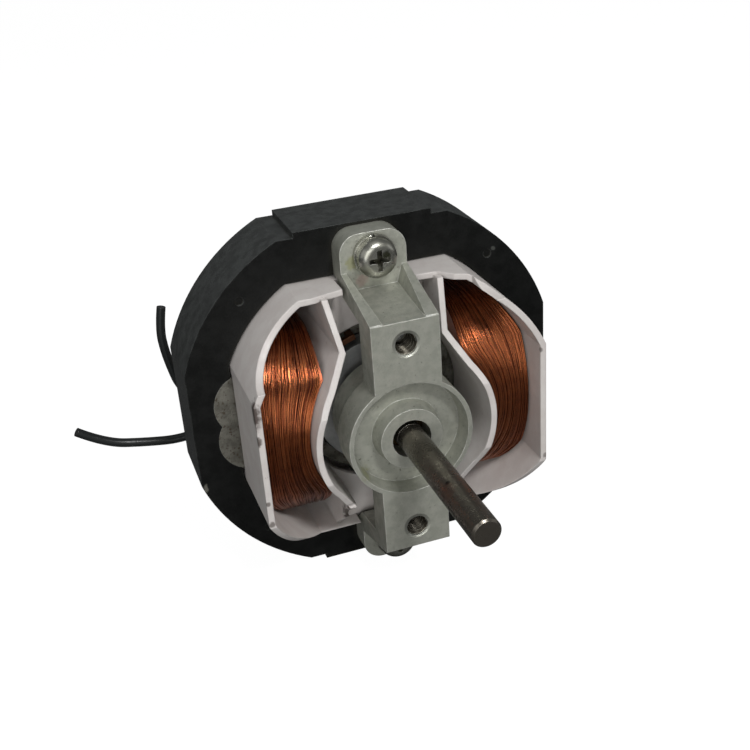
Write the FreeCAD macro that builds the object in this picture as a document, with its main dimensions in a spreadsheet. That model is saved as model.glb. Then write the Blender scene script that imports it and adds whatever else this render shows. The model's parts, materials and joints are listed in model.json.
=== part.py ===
"""Two-coil shaded pole motor, built as it comes apart on a bench.

Millimetres. The shaft lies along Y and its free end points to -Y. The origin is on the
shaft axis in the plane of the two tapped mounting faces of the front bracket. Z is up.
"""
import FreeCAD, Part
import math
import os

import Sketcher

Vector = FreeCAD.Vector
os.makedirs("parts", exist_ok=True)
doc = FreeCAD.newDocument("shaded_pole_motor")
sheet = doc.addObject("Spreadsheet::Sheet", "Sizes")
nodes = []


class Size:
    """A number together with the sheet expression that gives it."""

    def __init__(self, text, value):
        self.text = text
        self.value = value

    def __add__(self, other):
        other = as_size(other)
        return Size("(%s + %s)" % (self.text, other.text), self.value + other.value)

    def __sub__(self, other):
        other = as_size(other)
        return Size("(%s - %s)" % (self.text, other.text), self.value - other.value)

    def __rsub__(self, other):
        return as_size(other) - self

    def __mul__(self, other):
        other = as_size(other)
        return Size("(%s * %s)" % (self.text, other.text), self.value * other.value)

    def __truediv__(self, other):
        other = as_size(other)
        return Size("(%s / %s)" % (self.text, other.text), self.value / other.value)

    def __neg__(self):
        return Size("(-1 * %s)" % self.text, -self.value)

    __radd__ = __add__
    __rmul__ = __mul__


def as_size(number):
    """A plain number as a Size."""
    return number if isinstance(number, Size) else Size("%.9g" % number, float(number))


def root(number):
    """Square root of a Size."""
    return Size("sqrt(%s)" % number.text, math.sqrt(number.value))


def leg(hypotenuse, side):
    """Other side of the right triangle, where a circle meets a straight."""
    return root(hypotenuse * hypotenuse - side * side)


zero = as_size(0)

SIZES = {
    # Shaft and its fits
    "shaft_rad": 2.5,
    "shaft_front": 31.4,
    "shaft_behind": 2.5,
    "shaft_chamfer": 0.35,
    "groove_rad": 2.1,
    "groove_wide": 0.6,
    "run_gap": 0.04,
    "part_gap": 0.2,
    # Lamination stack, measured from the mounting face
    "stack_front": 19.0,
    "stack_len": 14.0,
    # Yoke outline and window
    "yoke_rad": 36.6,
    "pad_half": 12.75,
    "pad_top": 34.0,
    "pad_step": 1.0,
    "side_flat": 34.8,
    "window_rad": 29.2,
    "chord_top": 25.0,
    "window_side": 26.8,
    "socket_rad": 6.3,
    "socket_out": 24.2,
    "socket_rise": 3.5,
    "stake_rad": 0.8,
    "stake_circle": 33.1,
    "stake_sink": 0.3,
    # Stator core and rotor
    "air_gap": 0.3,
    "rotor_rad": 13.0,
    "ring_wall": 2.2,
    "cage_ring_len": 3.0,
    "cage_ring_wall": 4.0,
    "cage_ring_inset": 0.4,
    "bar_rad": 1.1,
    "bar_inset": 1.7,
    "bar_skew": 14.0,
    "bar_count": 17,
    # Shading rings: nested loops round one tip of each pole
    "shade_thick": 1.0,
    "shade_inset": 0.2,
    "shade_leg": 1.2,
    "shade_wide": 44.0,
    "shade_narrow": 20.0,
    "shade_place": 52.0,
    # Bracket casting
    "arm_wide": 6.1,
    "block_top": 22.3,
    "block_deep": 6.0,
    "block_root": 9.1,
    "beam_thick": 1.4,
    "beam_end_thick": 1.0,
    "beam_rise": 1.0,
    "foot_thick": 4.6,
    "foot_top": 33.4,
    "foot_round": 3.6,
    "foot_seat": 1.8,
    "rear_foot_thick": 3.6,
    "rear_foot_top": 32.2,
    "gusset_thick": 1.0,
    "gusset_root": 2.3,
    "gusset_top": 26.6,
    "mount_pitch": 36.2,
    "mount_hole": 2.0,
    "screw_place": 29.2,
    "screw_rad": 2.0,
    "screw_slack": 0.2,
    # Bearing hub
    "rim_rad": 11.4,
    "rim_wall": 0.8,
    "dish_deep": 3.2,
    "dish_draft": 0.6,
    "boss_rad": 5.67,
    "boss_hole": 3.57,
    "drum_step": 6.4,
    "drum_rad": 10.4,
    "drum_back": 13.0,
    "seat_deep": 8.5,
    "bush_ball": 5.5,
    "bush_half": 3.3,
    "felt_out": 8.2,
    "felt_thick": 1.6,
    "clip_thick": 0.4,
    "clip_fingers": 6,
    "clip_notch": 0.6,
    "collar_rad": 4.2,
    "thrust_thick": 0.8,
    "end_play": 0.3,
    # Screws
    "head_rad": 3.5,
    "head_high": 2.6,
    "head_flat": 1.9,
    "head_round": 1.7,
    "recess_half": 1.9,
    "recess_slot": 0.45,
    "recess_deep": 1.5,
    "spring_rad": 3.8,
    "spring_thick": 1.0,
    "spring_split": 0.5,
    "screw_past": 2.0,
    "screw_lead_in": 0.5,
    # Bobbins and windings
    "wall": 1.1,
    "flange_edge": 1.5,
    "flange_gap": 0.2,
    "side_gap": 0.3,
    "flange_end": 2.6,
    "foot_room": 0.3,
    "scallop_deep": 10.9,
    "scallop_deep_high": 24.5,
    "scallop_small": 12.5,
    "scallop_small_high": 34.4,
    "under_round": 24.8,
    "under_deep": 23.8,
    "under_high": -1.3,
    "hub_gap": 0.2,
    "knee_height": 9.8,
    "corner_out": 8.8,
    "corner_high": 15.7,
    "tip_out": 10.0,
    "tip_edge": 10.3,
    "slant_start": 6.5,
    "heel_edge": 16.0,
    "heel_knee": 5.5,
    "heel_high": 15.5,
    "apron_root": 11.3,
    "apron_clear": 0.6,
    "tube_gap": 0.2,
    "tube_wall": 1.0,
    "apron_thick": 1.2,
    "coil_build": 8.0,
    "coil_rise": 7.0,
    "coil_round": 8.5,
    "coil_crown_out": 3.2,
    "coil_crown_in": 6.0,
    "coil_in": 12.9,
    "coil_gap": 0.12,
    "lead_slot": 10.0,
    "lead_slot_low": -14.8,
    # Leads
    "lead_rad": 0.9,
    "sleeve_wall": 0.45,
    "sleeve_len": 7.6,
    "sleeve_room": 2.0,
    "sleeve_grip": 1.8,
}


class Dimensions:
    """The driving sizes, each in the sheet under an alias of its own."""

    def __init__(self, sizes):
        for row, (name, number) in enumerate(sizes.items(), 1):
            sheet.set("A%d" % row, name)
            sheet.set("B%d" % row, "%.9g" % number)
            sheet.setAlias("B%d" % row, name)
            setattr(self, name, Size("Sizes." + name, float(number)))


dim = Dimensions(SIZES)

# Places that several pieces share
middle = dim.stack_front + dim.stack_len / 2
stack_back = dim.stack_front + dim.stack_len
mirror = middle * 2
bore_rad = dim.rotor_rad + dim.air_gap
ring_rad = bore_rad + dim.ring_wall
arm_half = dim.socket_rise + dim.socket_rad
tube_face = dim.stack_front - dim.tube_gap - dim.tube_wall
coil_front = tube_face - dim.coil_build

# Lips of the outer wall, from the side to the middle, as places along X and depths
DEEP_LIP = ((15.1, 10.6), (12.0, 11.0), (8.0, 12.0))
SHALLOW_LIP = ((15.6, 8.0), (12.8, 9.5), (10.7, 12.0))

# Edge left where the lower tip of the left inner wall has broken off, as depths and heights
BREAK_LINE = ((4.2, -12.9), (5.6, -13.9), (5.2, -14.6), (8.2, -15.3), (8.8, -17.2),
              (11.0, -18.0), (12.2, -20.2))


def bind(item, prop, number):
    """Tie one property of an object to the sheet."""
    item.setExpression(prop, as_size(number).text)


def keep(item, name):
    """Name a finished sub-part, which is written out under that name."""
    item.Label = name
    nodes.append(item)
    return item


def new_body(name):
    """An empty body named for its piece."""
    body = doc.addObject("PartDesign::Body", "Body_" + name)
    body.Label = "solid of " + name
    return body


def plane_of(body, role):
    """One of the body's own origin planes or axes."""
    return next(item for item in body.Origin.OriginFeatures if item.Role == role)


def add_loop(sketch, corners, arcs):
    """Draw one closed loop, every corner tied to the sheet.

    corners are (x, y) pairs. arcs gives, for the edge that leaves a corner, its centre,
    its radius and whether it runs anticlockwise. Its ends and radius hold the centre.
    """
    count = len(corners)
    first = sketch.GeometryCount
    points = [Vector(as_size(x).value, as_size(y).value, 0) for x, y in corners]
    start_pos = []
    for index in range(count):
        here = points[index]
        there = points[(index + 1) % count]
        if index not in arcs:
            sketch.addGeometry(Part.LineSegment(here, there), False)
            start_pos.append(1)
            continue
        centre, radius, anticlockwise = arcs[index]
        middle_point = Vector(as_size(centre[0]).value, as_size(centre[1]).value, 0)
        begin, finish = (here, there) if anticlockwise else (there, here)
        start = math.atan2(begin.y - middle_point.y, begin.x - middle_point.x)
        end = math.atan2(finish.y - middle_point.y, finish.x - middle_point.x)
        circle = Part.Circle(middle_point, Vector(0, 0, 1), radius.value)
        sketch.addGeometry(Part.ArcOfCircle(circle, start, end if end > start else end + 2 * math.pi))
        start_pos.append(1 if anticlockwise else 2)
    for index in range(count):
        after = (index + 1) % count
        sketch.addConstraint(Sketcher.Constraint(
            "Coincident", first + index, 3 - start_pos[index], first + after, start_pos[after]))
    for index, (centre, radius, anticlockwise) in arcs.items():
        number = sketch.addConstraint(Sketcher.Constraint("Radius", first + index, radius.value))
        sketch.setExpression("Constraints[%d]" % number, radius.text)
    for index, place in enumerate(corners):
        fix_point(sketch, first + index, start_pos[index], place)


def fix_point(sketch, edge, pos, place):
    """Hold a point of a sketch at a place given by the sheet."""
    for kind, number in zip(("DistanceX", "DistanceY"), place):
        number = as_size(number)
        if number.text == "0":
            made = Sketcher.Constraint("PointOnObject", edge, pos, -2 if kind == "DistanceX" else -1)
            sketch.addConstraint(made)
            continue
        made = sketch.addConstraint(Sketcher.Constraint(kind, -1, 1, edge, pos, number.value))
        sketch.setExpression("Constraints[%d]" % made, number.text)


def add_circle(sketch, centre, radius):
    """Draw one circle, tied to the sheet."""
    place = [as_size(value) for value in centre]
    edge = sketch.addGeometry(Part.Circle(
        Vector(place[0].value, place[1].value, 0), Vector(0, 0, 1), radius.value), False)
    fix_point(sketch, edge, 3, place)
    number = sketch.addConstraint(Sketcher.Constraint("Radius", edge, radius.value))
    sketch.setExpression("Constraints[%d]" % number, radius.text)


def new_sketch(body, name, role, offset):
    """A sketch on an origin plane of its body, moved along the plane's normal."""
    sketch = body.newObject("Sketcher::SketchObject", name)
    sketch.AttachmentSupport = [(plane_of(body, role), "")]
    sketch.MapMode = "FlatFace"
    offset = as_size(offset)
    sketch.AttachmentOffset = FreeCAD.Placement(Vector(0, 0, offset.value), FreeCAD.Rotation())
    if offset.text != "0":
        bind(sketch, "AttachmentOffset.Base.z", offset)
    return sketch


def draw(sketch, loops):
    """Draw loops and circles: a loop is (corners, arcs), a circle (centre, radius)."""
    for shape in loops:
        if isinstance(shape[1], Size):
            add_circle(sketch, shape[0], shape[1])
        else:
            add_loop(sketch, shape[0], shape[1])
    doc.recompute()
    return sketch


def feature(body, kind, name, sketch, length):
    """A Pad or Pocket of one sketch, its direction proved by the change of volume."""
    before = body.Shape.Volume if body.Shape and not body.Shape.isNull() else 0.0
    made = body.newObject("PartDesign::" + kind, name)
    made.Profile = sketch
    made.Length = as_size(length).value
    bind(made, "Length", length)
    doc.recompute()
    after = body.Shape.Volume
    if kind == "Pad" and after <= before or kind == "Pocket" and after >= before:
        raise RuntimeError("%s changes nothing: %.3f to %.3f" % (name, before, after))
    return made


def pad_y(body, name, loops, front, back):
    """Pad an XZ outline from the front depth to the back depth."""
    sketch = draw(new_sketch(body, name + "_sketch", "XZ_Plane", -as_size(back)), loops)
    return feature(body, "Pad", name, sketch, back - front)


def pocket_y(body, name, loops, front, back):
    """Cut an XZ outline from the front depth to the back depth."""
    sketch = draw(new_sketch(body, name + "_sketch", "XZ_Plane", -as_size(front)), loops)
    return feature(body, "Pocket", name, sketch, back - front)


def pad_x(body, name, loops, low, high):
    """Pad a YZ outline between two places along X."""
    sketch = draw(new_sketch(body, name + "_sketch", "YZ_Plane", low), loops)
    return feature(body, "Pad", name, sketch, high - low)


def pocket_x(body, name, loops, low, high):
    """Cut a YZ outline between two places along X."""
    sketch = draw(new_sketch(body, name + "_sketch", "YZ_Plane", high), loops)
    return feature(body, "Pocket", name, sketch, high - low)


def turn(body, name, loops, height=zero):
    """Revolve an XY outline about the line along Y at the given height."""
    sketch = draw(new_sketch(body, name + "_sketch", "XY_Plane", height), loops)
    made = body.newObject("PartDesign::Revolution", name)
    made.Profile = sketch
    made.ReferenceAxis = (sketch, ["V_Axis"])
    made.Angle = 360
    doc.recompute()
    return made


def mirrored(body, name, originals, role):
    """Mirror features about an origin plane and make that the body's tip."""
    made = body.newObject("PartDesign::Mirrored", name)
    made.Originals = originals
    made.MirrorPlane = (plane_of(body, role), [""])
    body.Tip = made
    doc.recompute()
    return made


def around(body, name, originals, count):
    """Repeat features round the shaft axis and make that the body's tip."""
    made = body.newObject("PartDesign::PolarPattern", name)
    made.Originals = originals
    made.Axis = (plane_of(body, "Y_Axis"), [""])
    made.Angle = 360
    made.Occurrences = count
    body.Tip = made
    doc.recompute()
    return made


def rectangle(x_low, x_high, y_low, y_high):
    """A four-cornered loop."""
    return ([(x_low, y_low), (x_high, y_low), (x_high, y_high), (x_low, y_high)], {})


def polygon(*corners):
    """A loop of straight edges."""
    return (list(corners), {})


def side(sign, number):
    """A size to the left (sign -1) or to the right (sign 1)."""
    return as_size(number) if sign > 0 else -as_size(number)


def depth(facing, number):
    """A depth from the front, or its mirror image in the stack's middle plane."""
    return as_size(number) if facing > 0 else mirror - number


def span(facing, near, far):
    """Two depths in order along +Y."""
    pair = (depth(facing, near), depth(facing, far))
    return pair if facing > 0 else (pair[1], pair[0])


ALONG_Y = FreeCAD.Rotation(Vector(1, 0, 0), -90)
same = 1e-3


def cylinder(name, radius, front, back, x=zero, z=zero):
    """A cylinder along Y."""
    item = doc.addObject("Part::Cylinder", name)
    item.Placement = FreeCAD.Placement(Vector(0, 0, 0), ALONG_Y)
    bind(item, "Radius", radius)
    bind(item, "Height", back - front)
    for axis, number in zip("xyz", (x, front, z)):
        bind(item, "Placement.Base." + axis, number)
    return item


def box(name, x_low, x_high, front, back, z_low, z_high):
    """A box between six named places."""
    item = doc.addObject("Part::Box", name)
    spans = (("Length", x_low, x_high), ("Width", front, back), ("Height", z_low, z_high))
    for axis, (prop, low, high) in zip("xyz", spans):
        bind(item, prop, as_size(high) - low)
        bind(item, "Placement.Base." + axis, low)
    return item


def fuse(name, items):
    """Several solids as one."""
    item = doc.addObject("Part::MultiFuse", name)
    item.Shapes = items
    return item


def common(name, items):
    """What several solids share."""
    item = doc.addObject("Part::MultiCommon", name)
    item.Shapes = items
    return item


def cut(name, base, tool):
    """One solid less another."""
    item = doc.addObject("Part::Cut", name)
    item.Base = base
    item.Tool = tool
    return item


def round_edges(body, name, radius, chosen):
    """Round the edges of the body's last shape that the test picks."""
    tip = body.Tip
    names = ["Edge%d" % (number + 1) for number, edge in enumerate(tip.Shape.Edges) if chosen(edge)]
    made = body.newObject("PartDesign::Fillet", name)
    made.Base = (tip, names)
    made.Radius = as_size(radius).value
    bind(made, "Radius", radius)
    doc.recompute()
    return made


def make_yoke():
    """Outer ring of laminations: pads, shoulders, window, sockets and screw holes."""
    shoulder = dim.pad_top - dim.pad_step
    over = dim.side_flat + dim.pad_step
    outer = common("yoke_outline", [
        fuse("yoke_heights", [
            box("yoke_shoulders", -dim.side_flat, dim.side_flat, dim.stack_front, stack_back, -shoulder, shoulder),
            box("yoke_pads", -dim.pad_half, dim.pad_half, dim.stack_front, stack_back, -dim.pad_top, dim.pad_top),
        ]),
        cylinder("yoke_round", dim.yoke_rad, dim.stack_front, stack_back),
    ])
    past = dim.stack_front - 1, stack_back + 1
    window = common("window", [
        box("window_flats", -dim.window_side, dim.window_side, past[0], past[1], -dim.chord_top, dim.chord_top),
        cylinder("window_round", dim.window_rad, past[0], past[1]),
    ])
    holes = [window, box("socket_web", -dim.socket_out, dim.socket_out, past[0], past[1], -arm_half, arm_half)]
    for x_name, x_sign in (("left", -1), ("right", 1)):
        for z_name, z_sign in (("low", -1), ("high", 1)):
            holes.append(cylinder("socket_%s_%s" % (x_name, z_name), dim.socket_rad, past[0], past[1],
                                  side(x_sign, dim.socket_out), side(z_sign, dim.socket_rise)))
            holes.append(cylinder("stake_%s_%s" % (x_name, z_name), dim.stake_rad, past[0],
                                  dim.stack_front + dim.stake_sink,
                                  side(x_sign, dim.stake_circle * math.cos(math.radians(45))),
                                  side(z_sign, dim.stake_circle * math.sin(math.radians(45)))))
    for z_name, z_sign in (("low", -1), ("high", 1)):
        holes.append(cylinder("yoke_hole_" + z_name, dim.screw_rad + dim.screw_slack, past[0], past[1],
                              zero, side(z_sign, dim.screw_place)))
    keep(cut("yoke", outer, fuse("yoke_openings", holes)), "stator_yoke")


def shade_spans():
    """Angles of the two loops of the upper left pole tip, from the X axis."""
    centre = 180 - dim.shade_place.value
    return (("wide", centre, dim.shade_wide.value / 2), ("narrow", centre, dim.shade_narrow.value / 2))


def sector(radius_in, radius_out, front, back, low, high):
    """Solid between two radii, two depths and two angles from the X axis towards Z."""
    outer = Part.makeCylinder(radius_out, back - front, Vector(0, front, 0), Vector(0, 1, 0))
    inner = Part.makeCylinder(radius_in, back - front + 2, Vector(0, front - 1, 0), Vector(0, 1, 0))
    reach = radius_out * 2
    corners = [Vector(0, front, 0)]
    steps = 4
    for step in range(steps + 1):
        angle = math.radians(low + (high - low) * step / steps)
        corners.append(Vector(reach * math.cos(angle), front, reach * math.sin(angle)))
    corners.append(corners[0])
    wedge = Part.Face(Part.makePolygon(corners)).extrude(Vector(0, back - front, 0))
    return outer.cut(inner).common(wedge)


def make_shading_rings():
    """Copper loops round the tips of the poles, in slots open to the bore."""
    slots = []
    low_rad = (bore_rad + dim.shade_inset).value
    high_rad = low_rad + dim.shade_thick.value
    leg_angle = math.degrees(dim.shade_leg.value / low_rad)
    thick = dim.shade_thick.value
    front = dim.stack_front.value
    back = stack_back.value
    for pole, turned in (("left", 0), ("right", 180)):
        for order, (name, centre, half) in enumerate(shade_spans()):
            lift = (2 - order) * (thick + dim.part_gap.value)
            low = centre - half
            high = centre + half
            outer = sector(low_rad, high_rad, front - lift, back + lift, low, high)
            inner = sector(low_rad - 1, high_rad + 1, front - lift + thick, back + lift - thick,
                           low + leg_angle, high - leg_angle)
            loop = outer.cut(inner)
            loop.rotate(Vector(0, 0, 0), Vector(0, 1, 0), turned)
            ring = doc.addObject("Part::Feature", "shading_%s_%s" % (pole, name))
            ring.Shape = loop
            keep(ring, "shading_ring_%s_%s" % (pole, name))
            play = math.degrees(dim.part_gap.value / 2 / low_rad)
            for start in (low, high - leg_angle):
                slot = sector(bore_rad.value - 1, high_rad + dim.part_gap.value / 2, front - 1, back + 1,
                              start - play, start + leg_angle + play)
                slot.rotate(Vector(0, 0, 0), Vector(0, 1, 0), turned)
                slots.append(slot)
    cutter = doc.addObject("Part::Feature", "shading_slots")
    cutter.Shape = Part.makeCompound(slots)
    return cutter


def make_core(slots):
    """Inner stack: rotor ring, two pole arms and their lobed ends."""
    solids = [
        cylinder("core_ring", ring_rad, dim.stack_front, stack_back),
        box("core_arms", -dim.socket_out, dim.socket_out, dim.stack_front, stack_back, -arm_half, arm_half),
    ]
    for x_name, x_sign in (("left", -1), ("right", 1)):
        for z_name, z_sign in (("low", -1), ("high", 1)):
            solids.append(cylinder("lobe_%s_%s" % (x_name, z_name), dim.socket_rad, dim.stack_front, stack_back,
                                   side(x_sign, dim.socket_out), side(z_sign, dim.socket_rise)))
    bore = cylinder("core_bore", bore_rad, dim.stack_front - 1, stack_back + 1)
    bored = cut("core_bored", fuse("core_solid", solids), bore)
    keep(cut("core", bored, slots), "stator_core")


def make_rotor():
    """Shaft, lamination stack and the cage cast round it."""
    shaft = new_body("shaft")
    tail = mirror + dim.shaft_behind
    narrow = dim.shaft_rad - dim.shaft_chamfer
    turn(shaft, "shaft_turned", [polygon(
        (zero, -dim.shaft_front), (narrow, -dim.shaft_front), (dim.shaft_rad, -dim.shaft_front + dim.shaft_chamfer),
        (dim.shaft_rad, zero), (dim.groove_rad, zero), (dim.groove_rad, dim.groove_wide), (dim.shaft_rad, dim.groove_wide),
        (dim.shaft_rad, tail - dim.shaft_chamfer), (narrow, tail), (zero, tail))])
    keep(shaft, "shaft")

    cage = new_body("cage")
    ring_out = dim.rotor_rad - dim.cage_ring_inset
    ring_in = ring_out - dim.cage_ring_wall
    turn(cage, "cage_rings", [
        rectangle(ring_in, ring_out, dim.stack_front - dim.cage_ring_len, dim.stack_front),
        rectangle(ring_in, ring_out, stack_back, stack_back + dim.cage_ring_len)])
    bar_circle = dim.rotor_rad - dim.bar_inset
    skew = Size("cos(%s * 1 deg)" % dim.bar_skew.text, math.cos(math.radians(dim.bar_skew.value)))
    lean = Size("sin(%s * 1 deg)" % dim.bar_skew.text, math.sin(math.radians(dim.bar_skew.value)))
    front_end = draw(new_sketch(cage, "bar_front", "XZ_Plane", -dim.stack_front + 0.2),
                     [((bar_circle, zero), dim.bar_rad)])
    back_end = draw(new_sketch(cage, "bar_back", "XZ_Plane", -stack_back - 0.2),
                    [((bar_circle * skew, bar_circle * lean), dim.bar_rad)])
    bar = cage.newObject("PartDesign::AdditiveLoft", "bar")
    bar.Profile = front_end
    bar.Sections = [back_end]
    bar.Ruled = True
    doc.recompute()
    around(cage, "bars", [bar], SIZES["bar_count"])
    keep(cage, "rotor_cage")

    blank = cut("rotor_blank", cylinder("rotor_stack", dim.rotor_rad, dim.stack_front, stack_back),
                cylinder("rotor_bore", dim.shaft_rad, dim.stack_front - 1, stack_back + 1))
    keep(cut("rotor_slotted", blank, cage), "rotor_core")


def make_bracket(name, facing, tapped):
    """One die-cast bracket: blocks, beams, feet, gusset ribs and the dished hub."""
    body = new_body(name)
    thick, top = (dim.foot_thick, dim.foot_top) if facing > 0 else (dim.rear_foot_thick, dim.rear_foot_top)
    foot_face = dim.stack_front - thick
    foot_low = dim.chord_top
    seat_face = dim.stack_front - dim.foot_seat

    block = pad_y(body, name + "_block", [rectangle(-dim.arm_wide, dim.arm_wide, dim.block_root, dim.block_top)],
                  *span(facing, zero, dim.block_deep))
    profile = polygon(
        (depth(facing, dim.block_deep / 2), dim.block_top - dim.beam_thick), (depth(facing, dim.block_deep / 2), dim.block_top),
        (depth(facing, foot_face), dim.block_top + dim.beam_rise), (depth(facing, foot_face), top),
        (depth(facing, dim.stack_front), top), (depth(facing, dim.stack_front), foot_low),
        (depth(facing, seat_face), foot_low),
        (depth(facing, foot_face), dim.block_top + dim.beam_rise - dim.beam_end_thick),
        (depth(facing, dim.block_deep), dim.block_top - dim.beam_thick))
    beam = pad_x(body, name + "_beam", [profile], -dim.arm_wide, dim.arm_wide)
    rib_low = dim.block_top
    ribs = []
    for x_name, sign in (("left", -1), ("right", 1)):
        section = polygon(
            (side(sign, dim.arm_wide), rib_low), (side(sign, dim.arm_wide), dim.gusset_top),
            (side(sign, dim.arm_wide - dim.gusset_thick), dim.gusset_top), (side(sign, dim.arm_wide - dim.gusset_root), rib_low))
        ribs.append(pad_y(body, "%s_rib_%s" % (name, x_name), [section],
                          *span(facing, dim.part_gap, foot_face)))
    above = polygon(
        (depth(facing, -dim.part_gap), dim.block_top), (depth(facing, foot_face), dim.gusset_top),
        (depth(facing, foot_face), top), (depth(facing, -dim.part_gap), top))
    ribs.append(pocket_x(body, name + "_rib_slope", [above], -dim.arm_wide - 1, dim.arm_wide + 1))
    mirrored(body, name + "_lower", [block, beam] + ribs, "XY_Plane")

    def is_foot_corner(edge):
        """True for the edges where a foot's top meets its sides."""
        extent = edge.BoundBox
        along = extent.YLength > thick.value / 2 and extent.XLength < same and extent.ZLength < same
        at_side = abs(abs(extent.XMax) - dim.arm_wide.value) < same
        return along and at_side and abs(abs(extent.ZMax) - top.value) < same

    round_edges(body, name + "_foot_corners", dim.foot_round, is_foot_corner)

    pocket_y(body, name + "_hub_room", [((zero, zero), dim.rim_rad - dim.rim_wall / 2)],
             *span(facing, -dim.part_gap, dim.drum_back))
    ball_front = leg(dim.bush_ball, dim.boss_hole)
    floor_in = dim.boss_rad + dim.dish_draft
    floor_out = dim.rim_rad - dim.rim_wall - dim.dish_draft
    hub = ([
        (dim.boss_hole, depth(facing, zero)), (dim.boss_rad, depth(facing, zero)),
        (floor_in, depth(facing, dim.dish_deep)), (floor_out, depth(facing, dim.dish_deep)),
        (dim.rim_rad - dim.rim_wall, depth(facing, zero)), (dim.rim_rad, depth(facing, zero)),
        (dim.rim_rad, depth(facing, dim.drum_step)), (dim.drum_rad, depth(facing, dim.drum_step)),
        (dim.drum_rad, depth(facing, dim.drum_back)), (dim.felt_out, depth(facing, dim.drum_back)),
        (dim.felt_out, depth(facing, dim.seat_deep)), (dim.bush_ball, depth(facing, dim.seat_deep)),
        (dim.boss_hole, depth(facing, dim.seat_deep) - side(facing, ball_front)),
    ], {11: ((zero, depth(facing, dim.seat_deep)), dim.bush_ball, facing < 0)})
    turn(body, name + "_hub", [hub])

    half_pitch = dim.mount_pitch / 2
    if tapped:
        holes = [((zero, half_pitch), dim.mount_hole), ((zero, -half_pitch), dim.mount_hole)]
        pocket_y(body, name + "_tapped", holes, -dim.part_gap, dim.block_deep + dim.part_gap)
    foot_hole = dim.screw_rad + (dim.screw_slack if facing > 0 else dim.run_gap)
    pocket_y(body, name + "_foot_holes",
             [((zero, dim.screw_place), foot_hole), ((zero, -dim.screw_place), foot_hole)],
             *span(facing, foot_face - dim.part_gap, dim.stack_front + dim.part_gap))
    keep(body, name)


def make_hub_parts(name, facing):
    """Bush, felt and spring clip of one hub, with the thrust washer and shaft collar."""
    bush = new_body(name + "_bush")
    bore = dim.shaft_rad + dim.run_gap
    near = depth(facing, dim.seat_deep - dim.bush_half)
    far = depth(facing, dim.seat_deep + dim.bush_half)
    end_rad = leg(dim.bush_ball, dim.bush_half)
    turn(bush, name + "_bush_turned", [([
        (bore, near), (end_rad, near), (end_rad, far), (bore, far)],
        {1: ((zero, depth(facing, dim.seat_deep)), dim.bush_ball, facing > 0)})])
    keep(bush, name + "_bush")

    felt = new_body(name + "_felt")
    felt_near = dim.seat_deep + dim.part_gap
    felt_far = felt_near + dim.felt_thick
    turn(felt, name + "_felt_cut", [rectangle(
        dim.bush_ball + dim.part_gap, dim.felt_out - dim.part_gap, *span(facing, felt_near, felt_far))])
    keep(felt, name + "_felt")

    clip = new_body(name + "_clip")
    clip_in = leg(dim.bush_ball, felt_far + dim.part_gap - dim.seat_deep) + dim.part_gap / 4
    clip_at = felt_far + dim.part_gap
    turn(clip, name + "_clip_disc", [rectangle(
        clip_in, dim.felt_out, *span(facing, clip_at, clip_at + dim.clip_thick))])
    notch = pocket_y(clip, name + "_clip_notch",
                     [rectangle(-dim.clip_notch, dim.clip_notch, zero, (clip_in + dim.felt_out) / 2)],
                     *span(facing, clip_at - dim.part_gap, clip_at + dim.clip_thick + dim.part_gap))
    around(clip, name + "_clip_fingers", [notch], SIZES["clip_fingers"])
    keep(clip, name + "_clip")

    washer_at = dim.seat_deep + dim.bush_half + dim.end_play
    washer = new_body(name + "_washer")
    turn(washer, name + "_washer_disc", [rectangle(
        dim.shaft_rad, dim.collar_rad, *span(facing, washer_at, washer_at + dim.thrust_thick))])
    keep(washer, name + "_thrust_washer")

    collar = new_body(name + "_collar")
    turn(collar, name + "_collar_turned", [rectangle(
        dim.shaft_rad, dim.collar_rad, *span(facing, washer_at + dim.thrust_thick, dim.stack_front))])
    keep(collar, name + "_collar")


def make_screw(name, height):
    """Pan head screw with a cross recess, and its split spring washer."""
    seat = dim.stack_front - dim.foot_thick - dim.spring_thick
    crown = seat - dim.head_high
    tail = stack_back + dim.rear_foot_thick + dim.screw_past
    screw = new_body(name)
    dome = crown + dim.head_round - leg(dim.head_round, dim.head_rad - dim.head_flat)
    turn(screw, name + "_turned", [([
        (zero, crown), (dim.head_flat, crown), (dim.head_rad, dome), (dim.head_rad, seat), (dim.screw_rad, seat),
        (dim.screw_rad, tail - dim.screw_lead_in), (dim.screw_rad - dim.screw_lead_in, tail), (zero, tail)],
        {1: ((dim.head_flat, crown + dim.head_round), dim.head_round, True)})], height)
    cross = polygon(
        (-dim.recess_half, height - dim.recess_slot), (-dim.recess_slot, height - dim.recess_slot),
        (-dim.recess_slot, height - dim.recess_half), (dim.recess_slot, height - dim.recess_half),
        (dim.recess_slot, height - dim.recess_slot), (dim.recess_half, height - dim.recess_slot),
        (dim.recess_half, height + dim.recess_slot), (dim.recess_slot, height + dim.recess_slot),
        (dim.recess_slot, height + dim.recess_half), (-dim.recess_slot, height + dim.recess_half),
        (-dim.recess_slot, height + dim.recess_slot), (-dim.recess_half, height + dim.recess_slot))
    pocket_y(screw, name + "_recess", [cross], crown - dim.part_gap, crown + dim.recess_deep)
    keep(screw, "screw_" + name)

    ring = new_body(name + "_spring")
    seat_back = seat + dim.spring_thick
    pad_y(ring, name + "_spring_ring",
          [((zero, height), dim.spring_rad), ((zero, height), dim.screw_rad + dim.part_gap)], seat, seat_back)
    pocket_y(ring, name + "_spring_split",
             [rectangle(-dim.spring_split / 2, dim.spring_split / 2, height, height + dim.spring_rad + dim.part_gap)],
             seat - dim.part_gap, seat_back + dim.part_gap)
    keep(ring, "spring_washer_" + name)


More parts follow.
